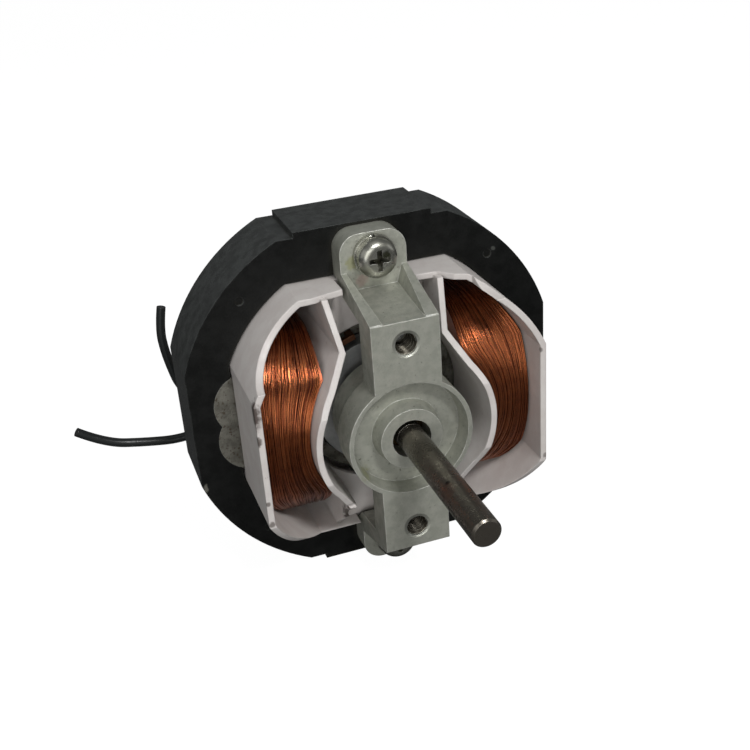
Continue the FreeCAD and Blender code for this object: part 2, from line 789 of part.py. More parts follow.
def make_bobbin(name, sign):
    """Moulded bobbin: outer wall that lines the window, inner wall round the hub, tube."""
    deep = (dim.scallop_deep, dim.scallop_deep_high, DEEP_LIP)
    shallow = (dim.scallop_small, dim.scallop_small_high, SHALLOW_LIP)
    front_trim, back_trim = (deep, shallow) if sign < 0 else (shallow, deep)
    front = dim.flange_edge
    back = mirror - dim.flange_edge
    chord = dim.chord_top - dim.flange_gap
    radius = dim.window_rad - dim.flange_gap
    flat = dim.window_side - dim.side_gap

    def wall_line(inward):
        height = chord - inward
        arc = radius - inward
        edge = flat - inward
        return height, arc, edge, leg(arc, height), leg(arc, edge)

    out = wall_line(zero)
    inn = wall_line(dim.wall)
    corners = []
    for (height, arc, edge, chord_x, flat_z), order in ((out, 1), (inn, -1)):
        run = [(dim.flange_end, height), (chord_x, height), (edge, flat_z),
               (edge, -flat_z), (chord_x, -height), (dim.flange_end, -height)]
        corners += run[::order]
    corners = [(side(sign, x), z) for x, z in corners]
    centre = (zero, zero)
    outward = sign < 0
    arcs = {1: (centre, out[1], outward), 3: (centre, out[1], outward),
            7: (centre, inn[1], not outward), 9: (centre, inn[1], not outward)}
    outer = new_body(name + "_outer")
    pad_y(outer, name + "_outer_wall", [(corners, arcs)], front, back)
    reach = flat + 1
    x_span = (side(sign, reach), zero) if sign < 0 else (zero, reach)
    for facing, (scallop, high, lip) in ((1, front_trim), (-1, back_trim)):
        mark = name + ("_front" if facing > 0 else "_back")
        pocket_x(outer, mark + "_scallop", [((depth(facing, zero), high), scallop)], *x_span)
        start = dim.under_high - leg(dim.under_round, dim.under_deep)
        low = dim.under_high - dim.under_round - 1
        pocket_x(outer, mark + "_under", [([
            (depth(facing, zero), start), (depth(facing, dim.under_deep), dim.under_high - dim.under_round),
            (depth(facing, dim.under_deep), low), (depth(facing, -1), low), (depth(facing, -1), start)],
            {0: ((depth(facing, dim.under_deep), dim.under_high), dim.under_round, facing > 0)})], *x_span)
        sketch = draw(new_sketch(outer, mark + "_lip_sketch", "XY_Plane", dim.chord_top + 1), [polygon(
            (side(sign, lip[0][0] + 1), depth(facing, zero)),
            *[(side(sign, x), depth(facing, y)) for x, y in lip],
            (zero, depth(facing, lip[-1][1] + 1)), (zero, depth(facing, zero)))])
        feature(outer, "Pocket", mark + "_lip", sketch, dim.wall * 2 + 1)
        room_out = dim.arm_wide + dim.foot_room * 2
        room_low = chord - dim.wall - dim.foot_room
        for up in (1, -1):
            edges = sorted((side(sign, zero), side(sign, room_out)), key=lambda number: number.value)
            levels = sorted((side(up, room_low), side(up, dim.chord_top + 1)), key=lambda number: number.value)
            pocket_y(outer, "%s_foot_room_%s" % (mark, "high" if up > 0 else "low"),
                     [rectangle(edges[0], edges[1], levels[0], levels[1])],
                     *span(facing, zero, dim.stack_front - dim.foot_seat + dim.foot_room))

    inner = new_body(name + "_inner")
    hub = ring_rad + dim.hub_gap
    coil_side = hub + dim.wall
    knee = leg(hub, dim.knee_height)
    knee_coil = leg(coil_side, dim.knee_height + dim.wall / 2)
    inside = chord - dim.wall / 2
    hub_line = [(dim.tip_out, inside), (dim.corner_out, dim.corner_high), (knee, dim.knee_height),
                (knee, -dim.knee_height), (dim.corner_out, -dim.corner_high), (dim.tip_out, -inside)]
    coil_line = [(dim.tip_out + dim.wall, -inside), (dim.corner_out + dim.wall, -dim.corner_high - dim.wall / 3),
                 (knee_coil, -dim.knee_height - dim.wall / 2), (knee_coil, dim.knee_height + dim.wall / 2),
                 (dim.corner_out + dim.wall, dim.corner_high + dim.wall / 3), (dim.tip_out + dim.wall, inside)]
    corners = [(side(sign, x), z) for x, z in hub_line + coil_line]
    pad_y(inner, name + "_inner_wall", [(corners, {
        2: (centre, hub, sign < 0), 8: (centre, coil_side, sign > 0)})], front, back)
    x_wide = (side(sign, coil_side + 1), zero) if sign < 0 else (zero, coil_side + 1)
    beyond = inside + 1
    for facing in (1, -1):
        mark = name + ("_fore" if facing > 0 else "_aft")
        pocket_x(inner, mark + "_high", [polygon(
            (depth(facing, front), dim.slant_start), (depth(facing, dim.tip_edge), inside),
            (depth(facing, dim.tip_edge), beyond), (depth(facing, zero), beyond),
            (depth(facing, zero), dim.slant_start))], *x_wide)
        pocket_x(inner, mark + "_low", [polygon(
            (depth(facing, front), -dim.slant_start), (depth(facing, dim.heel_knee), -dim.heel_high),
            (depth(facing, dim.heel_edge), -inside), (depth(facing, dim.heel_edge), -beyond),
            (depth(facing, zero), -beyond), (depth(facing, zero), -dim.slant_start))], *x_wide)
    if sign < 0:
        pocket_x(inner, name + "_break", [polygon(
            *BREAK_LINE, (zero, BREAK_LINE[-1][1]), (zero, BREAK_LINE[0][1]))], *x_wide)
    for facing in (1, -1):
        for z_name, up in (("high", 1), ("low", -1)):
            edge = ring_rad + dim.apron_clear
            low = side(up, chord - dim.wall)
            apron = ([(side(sign, dim.arm_wide + dim.foot_room * 2), side(up, inside)),
                      (side(sign, dim.tip_out + dim.wall / 2), side(up, inside)),
                      (side(sign, dim.corner_out + dim.wall), side(up, dim.corner_high)),
                      (side(sign, dim.apron_root), side(up, leg(edge, dim.apron_root))),
                      (side(sign, dim.flange_end), side(up, leg(edge, dim.flange_end))),
                      (side(sign, dim.flange_end), low), (side(sign, dim.arm_wide + dim.foot_room * 2), low)],
                     {3: (centre, edge, sign * up > 0)})
            pad_y(inner, "%s_apron_%s_%s" % (name, z_name, "front" if facing > 0 else "back"),
                  [apron], *span(facing, tube_face - dim.apron_thick, tube_face))

    hole = arm_half + dim.tube_gap
    skin = hole + dim.tube_wall
    tube_in = side(sign, leg(coil_side, skin) - dim.wall)
    tube_out = side(sign, flat - dim.wall / 2)
    x_low, x_high = (tube_out, tube_in) if sign < 0 else (tube_in, tube_out)
    tube = cut(name + "_tube",
               box(name + "_tube_skin", x_low, x_high, tube_face, mirror - tube_face, -skin, skin),
               cylinder(name + "_tube_round", hub, tube_face - 1, mirror - tube_face + 1))
    walls = fuse(name + "_walls", [outer, inner, tube])
    far = side(sign, flat + 1)
    near = side(sign, dim.corner_out)
    x_low, x_high = (far, near) if sign < 0 else (near, far)
    stack_hole = box(name + "_stack_hole", x_low, x_high, dim.stack_front - dim.tube_gap,
                     stack_back + dim.tube_gap, -hole, hole)
    if sign < 0:
        slot = box("lead_slot_room", -flat - 1, -flat + dim.wall + 2, back - dim.tip_edge + 1, back + 1,
                   dim.lead_slot_low, dim.lead_slot_low + dim.lead_slot)
        stack_hole = fuse(name + "_holes", [stack_hole, slot])
    keep(cut(name, walls, stack_hole), name)


def crown_arc(crown):
    """Depth of the centre and radius of the arc that crowns the front of a coil by the given rise."""
    shoulder = arm_half + dim.tube_gap + dim.tube_wall + dim.coil_rise - dim.coil_round
    reach = dim.coil_round + crown
    radius = ((reach * reach - dim.coil_round * dim.coil_round) + shoulder * shoulder) / (crown * 2)
    return coil_front - crown + radius, radius


def make_winding(name, sign):
    """One coil: wire built up round the tube and held between the bobbin's walls."""
    skin = arm_half + dim.tube_gap + dim.tube_wall
    back = mirror - coil_front
    top = skin + dim.coil_rise
    radius = dim.coil_round
    mid_front = coil_front + radius
    shoulder = top - radius

    def turn_outline(crown):
        """Section of the coil across the pole, its front and back crowned by the given rise."""
        centre, big = crown_arc(crown)
        scale = big / (big - radius)
        meet_y = centre + (mid_front - centre) * scale
        meet_z = shoulder * scale
        near = (centre, zero)
        far = (mirror - centre, zero)
        return ([(mid_front, top), (meet_y, meet_z), (meet_y, -meet_z), (mid_front, -top),
                 (mirror - mid_front, -top), (mirror - meet_y, -meet_z), (mirror - meet_y, meet_z),
                 (mirror - mid_front, top)],
                {0: ((mid_front, shoulder), radius, True), 1: (near, big, True),
                 2: ((mid_front, -shoulder), radius, True),
                 4: ((mirror - mid_front, -shoulder), radius, True), 5: (far, big, True),
                 6: ((mirror - mid_front, shoulder), radius, True)})

    bulk = new_body(name + "_bulk")
    outer_end = draw(new_sketch(bulk, name + "_outer_turn", "YZ_Plane", side(sign, dim.window_side)),
                     [turn_outline(dim.coil_crown_out)])
    inner_end = draw(new_sketch(bulk, name + "_inner_turn", "YZ_Plane", side(sign, dim.coil_in - dim.wall)),
                     [turn_outline(dim.coil_crown_in)])
    turns = bulk.newObject("PartDesign::AdditiveLoft", name + "_turns")
    turns.Profile = outer_end
    turns.Sections = [inner_end]
    turns.Ruled = True
    doc.recompute()
    hollow = rectangle(tube_face - dim.coil_gap, mirror - tube_face + dim.coil_gap, -skin - dim.coil_gap, skin + dim.coil_gap)
    reach = dim.window_side + 1
    x_low, x_high = (-reach, zero) if sign < 0 else (zero, reach)
    pocket_x(bulk, name + "_tube_room", [hollow], x_low, x_high)

    room = new_body(name + "_room")
    inward = dim.flange_gap + dim.wall + dim.coil_gap
    outer_rad = dim.window_rad - inward
    edge = dim.window_side - dim.side_gap - dim.wall - dim.coil_gap
    flat_z = leg(outer_rad, edge)
    coil_side = ring_rad + dim.hub_gap + dim.wall + dim.coil_gap
    cap = dim.chord_top - inward
    knee = leg(coil_side, dim.coil_in)
    corners = [(dim.coil_in, cap), (dim.coil_in, knee), (dim.coil_in, -knee), (dim.coil_in, -cap),
               (leg(outer_rad, cap), -cap), (edge, -flat_z), (edge, flat_z), (leg(outer_rad, cap), cap)]
    corners = [(side(sign, x), z) for x, z in corners]
    centre = (zero, zero)
    pad_y(room, name + "_between_walls", [(corners, {
        1: (centre, coil_side, sign < 0), 4: (centre, outer_rad, sign > 0),
        6: (centre, outer_rad, sign > 0)})], coil_front - dim.coil_crown_in - 1, back + dim.coil_crown_in + 1)
    keep(common(name, [bulk, room]), name)


def tube_path(points, share):
    """Straight runs joined by the largest tangent arcs that their lengths allow."""
    corners = [Vector(*point) for point in points]
    edges = []
    radii = []
    last = corners[0]
    for before, here, after in zip(corners, corners[1:], corners[2:]):
        back = before - here
        ahead = after - here
        run = min(back.Length, ahead.Length) * share
        half_turn = (math.pi - back.getAngle(ahead)) / 2
        radii.append(run / math.tan(half_turn))
        back.normalize()
        ahead.normalize()
        start = here + back * run
        end = here + ahead * run
        inward = back + ahead
        inward.normalize()
        centre = here + inward * (radii[-1] / math.cos(half_turn))
        middle_of_arc = centre - inward * radii[-1]
        edges.append(Part.LineSegment(last, start).toShape())
        edges.append(Part.Arc(start, middle_of_arc, end).toShape())
        last = end
    edges.append(Part.LineSegment(last, corners[-1]).toShape())
    return Part.Wire(edges), radii


def sweep_tube(points, radius):
    """A round tube along a route."""
    path, radii = tube_path(points, 0.45)
    along = Vector(*points[1]) - Vector(*points[0])
    ring = Part.Wire([Part.Circle(Vector(*points[0]), along, radius).toShape()])
    solid = path.makePipeShell([ring], True, True)
    return solid, path.Length, radii


def make_leads():
    """Two leads, each out of a sleeve that lies on the back of the left winding."""
    sleeve_rad = dim.lead_rad + dim.sleeve_wall
    sleeve_start = -(dim.window_side - dim.side_gap - dim.wall - dim.sleeve_room)
    grip = (sleeve_start + dim.sleeve_grip).value
    slope = (dim.coil_crown_in - dim.coil_crown_out) / (dim.window_side - dim.coil_in + dim.wall)
    crown = dim.coil_crown_out + (dim.window_side + sleeve_start + dim.sleeve_len) * slope
    centre, radius = crown_arc(crown)
    clear = (radius + sleeve_rad + dim.coil_gap).value
    routes = {
        "upper": [(grip, -9.6), (-24.3, -9.6), (-27.0, -8.9), (-29.5, -7.5), (-31.5, -5.5),
                  (-32.9, -3.0), (-33.6, -0.3), (-34.5, 4.5), (-34.8, 9.3), (-33.8, 13.9)],
        "lower": [(grip, -12.4), (-27.6, -13.2), (-34.2, -14.8), (-41.6, -13.7),
                  (-49.2, -12.0), (-54.4, -8.1)],
    }
    for name, route in routes.items():
        height = route[0][1]
        level = (mirror - centre).value + math.sqrt(clear * clear - height * height)
        points = [(x, level, z) for x, z in route]
        print("lead %s lies at depth %.3f" % (name, level))
        solid, length, radii = sweep_tube(points, dim.lead_rad.value)
        expected = math.pi * dim.lead_rad.value ** 2 * length
        print("lead %s: %.1f mm, volume %.4f of expected, radii %s" % (
            name, length, solid.Volume / expected, ", ".join("%.1f" % value for value in radii)))
        lead = doc.addObject("Part::Feature", "lead_" + name)
        lead.Shape = solid
        keep(lead, "lead_" + name)

        sleeve_at = Vector(sleeve_start.value, level, points[0][2])
        sleeve = doc.addObject("Part::Feature", "sleeve_" + name)
        blank = Part.makeCylinder(sleeve_rad.value, dim.sleeve_len.value, sleeve_at, Vector(1, 0, 0))
        sleeve.Shape = blank.cut(solid)
        keep(sleeve, "splice_sleeve_" + name)


make_yoke()
make_core(make_shading_rings())
make_rotor()
for end_name, end_facing in (("front", 1), ("rear", -1)):
    make_bracket(end_name + "_bracket", end_facing, end_facing > 0)
    make_hub_parts(end_name, end_facing)
make_screw("top", dim.screw_place)
make_screw("bottom", -dim.screw_place)
for side_name, side_sign in (("left", -1), ("right", 1)):
    make_bobbin("bobbin_" + side_name, side_sign)
    make_winding("winding_" + side_name, side_sign)
make_leads()

doc.recompute()
broken = [item.Label for item in doc.Objects if "Invalid" in item.State or "Error" in item.State]
if broken:
    raise RuntimeError("failed objects: " + ", ".join(broken))
for item in nodes:
    if item.Shape.isNull() or not item.Shape.isValid():
        raise RuntimeError("no valid shape: " + item.Label)
    item.Shape.exportStep("parts/%s.step" % item.Label)
    print("%-28s %d solid(s) %10.2f mm3" % (item.Label, len(item.Shape.Solids), item.Shape.Volume))
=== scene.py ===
"""Looks of the shaded pole motor: finishes, wound wire, threads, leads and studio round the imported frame."""

import json
import logging
import math
import random
from abc import ABC, abstractmethod
from dataclasses import dataclass, field
from enum import Enum
from typing import Callable, ClassVar, Sequence, Union

import bpy
from mathutils import Matrix, Vector


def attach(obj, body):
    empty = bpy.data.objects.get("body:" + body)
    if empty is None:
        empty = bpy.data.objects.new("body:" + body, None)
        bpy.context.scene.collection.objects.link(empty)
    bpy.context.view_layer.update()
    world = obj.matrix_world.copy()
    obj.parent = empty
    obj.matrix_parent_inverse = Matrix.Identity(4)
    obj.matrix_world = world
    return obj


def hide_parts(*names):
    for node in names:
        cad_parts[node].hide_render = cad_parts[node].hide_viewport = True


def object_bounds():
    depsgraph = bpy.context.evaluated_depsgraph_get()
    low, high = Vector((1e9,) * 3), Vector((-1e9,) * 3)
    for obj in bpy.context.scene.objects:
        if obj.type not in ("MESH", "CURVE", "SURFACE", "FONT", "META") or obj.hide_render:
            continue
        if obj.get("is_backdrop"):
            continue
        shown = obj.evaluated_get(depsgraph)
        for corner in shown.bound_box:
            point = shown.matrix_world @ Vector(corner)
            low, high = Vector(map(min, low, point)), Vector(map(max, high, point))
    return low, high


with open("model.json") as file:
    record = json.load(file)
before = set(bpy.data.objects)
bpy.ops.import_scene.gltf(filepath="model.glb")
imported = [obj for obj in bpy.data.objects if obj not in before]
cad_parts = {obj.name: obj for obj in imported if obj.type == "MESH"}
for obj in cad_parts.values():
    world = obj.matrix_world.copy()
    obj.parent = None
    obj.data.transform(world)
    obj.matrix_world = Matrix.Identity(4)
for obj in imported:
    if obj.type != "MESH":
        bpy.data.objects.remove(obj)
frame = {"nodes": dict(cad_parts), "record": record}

log = logging.getLogger("motor")

Colour = tuple[float, float, float]
Point = tuple[float, float, float]
Limits = tuple[float, float]
Socket = bpy.types.NodeSocket
Value = Union[Socket, float]
Tone = Union[Socket, Colour]

MM = 0.001

# Places of the motor, in millimetres.
MIRROR = 52.0
HOLE_HEIGHT = 18.1
HOLE_RADIUS = 2.0
MOUTH_RADIUS = 2.5
UPPER_LEVEL = 46.624
LOWER_LEVEL = 44.916
UPPER_ROUTE = ((-21.6, -9.6), (-24.3, -9.6), (-27.0, -8.9), (-29.5, -7.5), (-31.5, -5.5),
               (-32.9, -3.0), (-33.6, -0.3), (-34.5, 4.5), (-34.8, 9.3), (-33.8, 13.9))
LOWER_ROUTE = ((-21.6, -12.4), (-27.6, -13.2), (-34.2, -14.8), (-41.6, -13.7), (-49.2, -12.0),
               (-54.4, -8.1))


def srgb(red: float, green: float, blue: float) -> Colour:
    """Turn display values into linear ones.

    Args:
        red: Red, 0 to 255.
        green: Green, 0 to 255.
        blue: Blue, 0 to 255.

    Returns:
        The linear colour.
    """
    def linear(value: float) -> float:
        """Turn one display value into a linear one."""
        share = value / 255
        return share / 12.92 if share <= 0.04045 else ((share + 0.055) / 1.055) ** 2.4

    return linear(red), linear(green), linear(blue)


class Pattern(Enum):
    """How the fine relief of a finish runs."""

    GRAIN = "grain"
    SHEETS = "sheets"
    RINGS = "rings"
    WIRE = "wire"


@dataclass(frozen=True)
class Spot:
    """A mark at one place: a stain, a chip, a burn or a darker patch.

    Attributes:
        centre: Place in millimetres.
        radius: Reach in millimetres.
        colour: Colour of the mark.
        strength: Share of the mark at its middle.
        stretch: Scale of the reach along each axis.
    """

    centre: Point
    radius: float
    colour: Colour
    strength: float = 0.8
    stretch: Point = (1.0, 1.0, 1.0)


@dataclass(frozen=True)
class Finish:
    """The looks of one material.

    Attributes:
        name: Name of the material.
        base: Main colour.
        tone: Second colour that mottles the first.
        mottle: Share of the second colour.
        speck: Colour of the fine specks.
        specks: Share of the surface under specks.
        worn_and_glint: Colour of lightened edges: rubbed wear, and a painted highlight on the casting and the
            thread.
        wear_and_glint: How strongly the edges are lightened.
        roughness: Mean roughness.
        uneven: Spread of the roughness.
        metallic: 1 for bare metal.
        coat: Weight of the clear coat.
        pattern: Run of the relief.
        relief: Height of the relief in millimetres.
        grain: Size of the grain in millimetres.
        soft_edge: Radius of the softened edges in millimetres.
        spots: Marks at known places.
        mouths: Whether the tapped holes are countersunk.
        dirt_and_shade: Share of the dirt and the painted shade laid in the corners.
        shine: Level of the mirror-like part.
    """

    name: str
    base: Colour
    tone: Colour
    mottle: float = 0.4
    speck: Colour = (0.05, 0.04, 0.03)
    specks: float = 0.0
    worn_and_glint: Colour = (0.5, 0.5, 0.5)
    wear_and_glint: float = 0.0
    roughness: float = 0.5
    uneven: float = 0.1
    metallic: float = 0.0
    coat: float = 0.0
    pattern: Pattern = Pattern.GRAIN
    relief: float = 0.02
    grain: float = 0.3
    soft_edge: float = 0.15
    spots: tuple[Spot, ...] = ()
    mouths: bool = False
    dirt_and_shade: float = 0.45
    shine: float = 0.5


# Brown tone laid in corners and crevices by ambient occlusion: dirt together with painted shade.
DIRT_AND_SHADE = srgb(52, 50, 40)
BURNT = srgb(58, 42, 34)

YOKE = Finish(
    "yoke_black", srgb(11, 12, 11), srgb(19, 20, 19), mottle=0.6, speck=srgb(96, 98, 94), specks=0.1,
    worn_and_glint=srgb(88, 91, 90), wear_and_glint=0.5, roughness=0.44, uneven=0.12, pattern=Pattern.SHEETS, relief=0.05,
    grain=0.25, soft_edge=0.2, shine=0.22,
    spots=(Spot((-34.1, 19.0, -11.9), 0.8, srgb(112, 110, 102), 0.7, (0.6, 1.0, 1.5)),
           Spot((24.6, 19.0, 24.2), 0.5, srgb(88, 90, 86), 0.5)))
CORE = Finish(
    "core_steel", srgb(128, 126, 117), srgb(84, 82, 74), mottle=0.8, speck=srgb(70, 56, 42), specks=0.36,
    worn_and_glint=srgb(196, 194, 186), wear_and_glint=0.5, roughness=0.52, uneven=0.15, metallic=0.55,
    pattern=Pattern.SHEETS, relief=0.1)
# Casting: the light edge colour is rubbed wear together with a painted highlight along the edges.
CASTING = Finish(
    "bracket_casting", srgb(180, 181, 170), srgb(146, 148, 137), mottle=0.6, speck=srgb(98, 98, 88),
    specks=0.22, worn_and_glint=srgb(244, 244, 238), wear_and_glint=0.9, roughness=0.46, uneven=0.14, metallic=0.5,
    relief=0.07, grain=0.28, soft_edge=0.2, mouths=True,
    spots=(Spot((-3.8, 14.4, 28.3), 1.6, srgb(150, 150, 96), 0.55),
           Spot((-2.4, 14.4, 24.9), 1.4, srgb(176, 146, 140), 0.5),
           Spot((-9.8, 2.0, -6.0), 2.4, srgb(146, 146, 96), 0.55, (1.3, 1.0, 0.7))))
NYLON = Finish(
    "bobbin_nylon", srgb(214, 209, 205), srgb(199, 191, 187), mottle=0.55, speck=srgb(122, 90, 70),
    specks=0.09, worn_and_glint=srgb(232, 226, 222), wear_and_glint=0.35, roughness=0.44, relief=0.03, grain=0.5,
    soft_edge=0.38,
    spots=(Spot((-26.9, 2.0, 10.2), 1.7, BURNT, 0.9, (1.0, 1.0, 2.2)),
           Spot((-26.9, 1.6, 5.2), 1.3, BURNT, 0.85),
           Spot((-26.3, 1.5, -7.1), 0.6, BURNT, 0.7),
           Spot((-26.0, 1.5, -11.3), 0.7, BURNT, 0.7),
           Spot((-9.8, 8.6, -16.0), 2.2, BURNT, 0.9, (1.4, 0.9, 0.8)),
           Spot((-9.3, 11.5, -19.0), 1.9, BURNT, 0.8, (0.8, 0.8, 1.3)),
           Spot((-13.6, 3.0, 11.2), 0.55, BURNT, 0.8),
           Spot((25.3, 1.5, 10.8), 0.7, BURNT, 0.7),
           Spot((26.3, 1.5, -11.0), 0.6, BURNT, 0.6),
           Spot((12.4, 5.0, 25.4), 0.9, BURNT, 0.6, (1.5, 1.0, 0.7)),
           Spot((-14.8, 10.0, 25.2), 0.8, BURNT, 0.6, (1.4, 1.0, 0.7))))
ENAMEL = Finish(
    "winding_enamel", (0.18, 0.042, 0.016), (0.46, 0.145, 0.048), mottle=1.0, roughness=0.25,
    uneven=0.04, metallic=1.0, coat=0.25, pattern=Pattern.WIRE, relief=0.002, soft_edge=0.05, dirt_and_shade=0.0)
# Thread: the dark base and tone are painted shade inside the hole, and the bright edge colour is a painted
# highlight on the crests.
THREAD = Finish(
    "thread_cut", srgb(58, 54, 44), srgb(40, 37, 30), mottle=0.6, speck=srgb(30, 28, 22), specks=0.15,
    worn_and_glint=srgb(236, 232, 214), wear_and_glint=1.0, roughness=0.36, metallic=0.6, relief=0.01, grain=0.2,
    soft_edge=0.1, dirt_and_shade=0.0)
SHAFT = Finish(
    "shaft_steel", srgb(108, 103, 95), srgb(84, 79, 71), mottle=0.35, speck=srgb(66, 54, 44), specks=0.08,
    worn_and_glint=srgb(206, 202, 194), wear_and_glint=0.8, roughness=0.3, uneven=0.12, metallic=0.9, pattern=Pattern.RINGS,
    relief=0.006, grain=0.2, soft_edge=0.12,
    spots=(Spot((-1.15, -18.9, 2.22), 0.55, srgb(20, 18, 16), 0.95),
           Spot((-2.0, -20.3, 1.5), 2.0, srgb(120, 84, 70), 0.3)))
SCREW = Finish(
    "screw_zinc", srgb(172, 172, 164), srgb(132, 130, 116), mottle=0.5, speck=srgb(84, 78, 58),
    specks=0.14, worn_and_glint=srgb(226, 226, 220), wear_and_glint=0.6, roughness=0.3, uneven=0.12, metallic=0.95,
    soft_edge=0.12,
    # Darker marks over the head's cross recess, darkest at its bottom.
    spots=(Spot((1.2, 11.0, 29.8), 1.0, srgb(64, 66, 44), 0.9, (1.0, 1.6, 1.2)),
           Spot((-0.5, 11.6, 29.0), 0.7, srgb(70, 68, 50), 0.8, (1.3, 1.0, 0.8)),
           Spot((0.2, 11.9, 28.2), 0.7, srgb(70, 68, 50), 0.8, (0.8, 1.0, 1.2)),
           Spot((0.0, 12.3, 29.2), 1.5, srgb(52, 50, 38), 0.85, (1.0, 0.5, 1.0))))
LEAD_COVER = Finish(
    "lead_black", srgb(30, 33, 33), srgb(22, 24, 24), roughness=0.34, relief=0.01, grain=0.5, coat=0.2,
    worn_and_glint=srgb(60, 64, 64), wear_and_glint=0.1)
FINISHES: tuple[Finish, ...] = (
    YOKE, CORE, CASTING, NYLON, ENAMEL, THREAD, SHAFT, SCREW, LEAD_COVER,
    Finish("shading_copper", srgb(128, 88, 66), srgb(92, 62, 46), mottle=0.6, metallic=0.9,
           worn_and_glint=srgb(214, 150, 110), wear_and_glint=0.4, speck=srgb(80, 52, 36), specks=0.12),
    Finish("rotor_steel", srgb(128, 128, 124), srgb(92, 90, 84), mottle=0.5, roughness=0.4, metallic=0.85,
           pattern=Pattern.RINGS, speck=srgb(84, 62, 44), specks=0.15),
    Finish("cage_aluminium", srgb(186, 188, 188), srgb(150, 152, 152), mottle=0.5, roughness=0.48,
           metallic=0.8, relief=0.03, worn_and_glint=srgb(222, 222, 220), wear_and_glint=0.5),
    Finish("collar_plastic", srgb(44, 44, 46), srgb(34, 34, 36), relief=0.01, worn_and_glint=srgb(80, 80, 82),
           wear_and_glint=0.3),
    Finish("thrust_fibre", srgb(112, 78, 54), srgb(86, 58, 40), roughness=0.7, relief=0.03, grain=0.2),
    Finish("bush_bronze", srgb(150, 128, 92), srgb(110, 88, 58), mottle=0.6, roughness=0.42, metallic=0.85,
           speck=srgb(60, 46, 30), specks=0.25, relief=0.03, grain=0.15, worn_and_glint=srgb(190, 168, 124), wear_and_glint=0.5),
    Finish("oil_felt", srgb(150, 136, 106), srgb(112, 98, 72), mottle=0.7, roughness=0.95, relief=0.12,
           grain=0.15, soft_edge=0.3),
    Finish("clip_steel", srgb(150, 150, 150), srgb(116, 114, 110), roughness=0.36, metallic=0.9,
           relief=0.01, worn_and_glint=srgb(200, 200, 198), wear_and_glint=0.5),
    Finish("sleeve_black", srgb(36, 36, 36), srgb(28, 28, 28), roughness=0.55, relief=0.03, grain=0.2),
)


class Graph:
    """Short calls that add nodes to one node tree."""

    def __init__(self, tree: bpy.types.NodeTree) -> None:
        """Keep the tree.

        Args:
            tree: Tree that the nodes go into.
        """
        self.tree = tree

    def add(self, kind: str, inputs: dict | None = None, **settings) -> bpy.types.Node:
        """Add one node.

        Args:
            kind: Type of the node.
            inputs: Values or sockets by input name or number.
            **settings: Properties of the node.

        Returns:
            The new node.
        """
        node = self.tree.nodes.new(kind)
        for name, value in settings.items():
            setattr(node, name, value)
        for key, value in (inputs or {}).items():
            if isinstance(value, Socket):
                self.tree.links.new(value, node.inputs[key])
            else:
                node.inputs[key].default_value = value
        return node

    def maths(self, operation: str, first: Value, second: Value = 0.0, third: Value = 0.0,
              clamp: bool = False) -> Socket:
        """Add a maths node and return its output."""
        return self.add("ShaderNodeMath", {0: first, 1: second, 2: third}, operation=operation,
                        use_clamp=clamp).outputs[0]

    def ramp(self, value: Value, limits: Limits, smooth: bool = True) -> Socket:
        """Spread a value between two limits from 0 to 1 and return the output."""
        low, high = limits
        return self.add("ShaderNodeMapRange", {"Value": value, "From Min": low, "From Max": high},
                        interpolation_type="SMOOTHSTEP" if smooth else "LINEAR").outputs["Result"]

    def noise(self, place: Socket, scale: Value, detail: float, roughness: float = 0.5) -> Socket:
        """Add a noise texture and return its value."""
        return self.add("ShaderNodeTexNoise", {"Vector": place, "Scale": scale, "Detail": detail,
                                               "Roughness": roughness}).outputs[0]

    def blend(self, share: Value, first: Tone, second: Tone) -> Socket:
        """Mix two colours by a share and return the output."""
        tones = {key: value if isinstance(value, Socket) else (*value, 1.0)
                 for key, value in ((6, first), (7, second))}
        return self.add("ShaderNodeMix", {0: share, **tones}, data_type="RGBA").outputs[2]


def make_group(name: str, inputs: Sequence[tuple[str, float | None]], outputs: Sequence[str],
               build: Callable[[Graph, dict], dict]) -> bpy.types.NodeTree:
    """Build one node group.

    Args:
        name: Name of the group.
        inputs: Name and default of each input, with no default for a vector.
        outputs: Names of the float outputs.
        build: Function that adds the nodes and returns the sockets to send out.

    Returns:
        The finished group.
    """
    tree = bpy.data.node_groups.new(name, "ShaderNodeTree")
    for label, default in inputs:
        kind = "NodeSocketVector" if default is None else "NodeSocketFloat"
        socket = tree.interface.new_socket(name=label, in_out="INPUT", socket_type=kind)
        if default is not None:
            socket.default_value = default
    for label in outputs:
        tree.interface.new_socket(name=label, in_out="OUTPUT", socket_type="NodeSocketFloat")
    graph = Graph(tree)
    entry = graph.add("NodeGroupInput")
    sent = build(graph, {label: entry.outputs[label] for label, _ in inputs})
    graph.add("NodeGroupOutput", sent)
    return tree


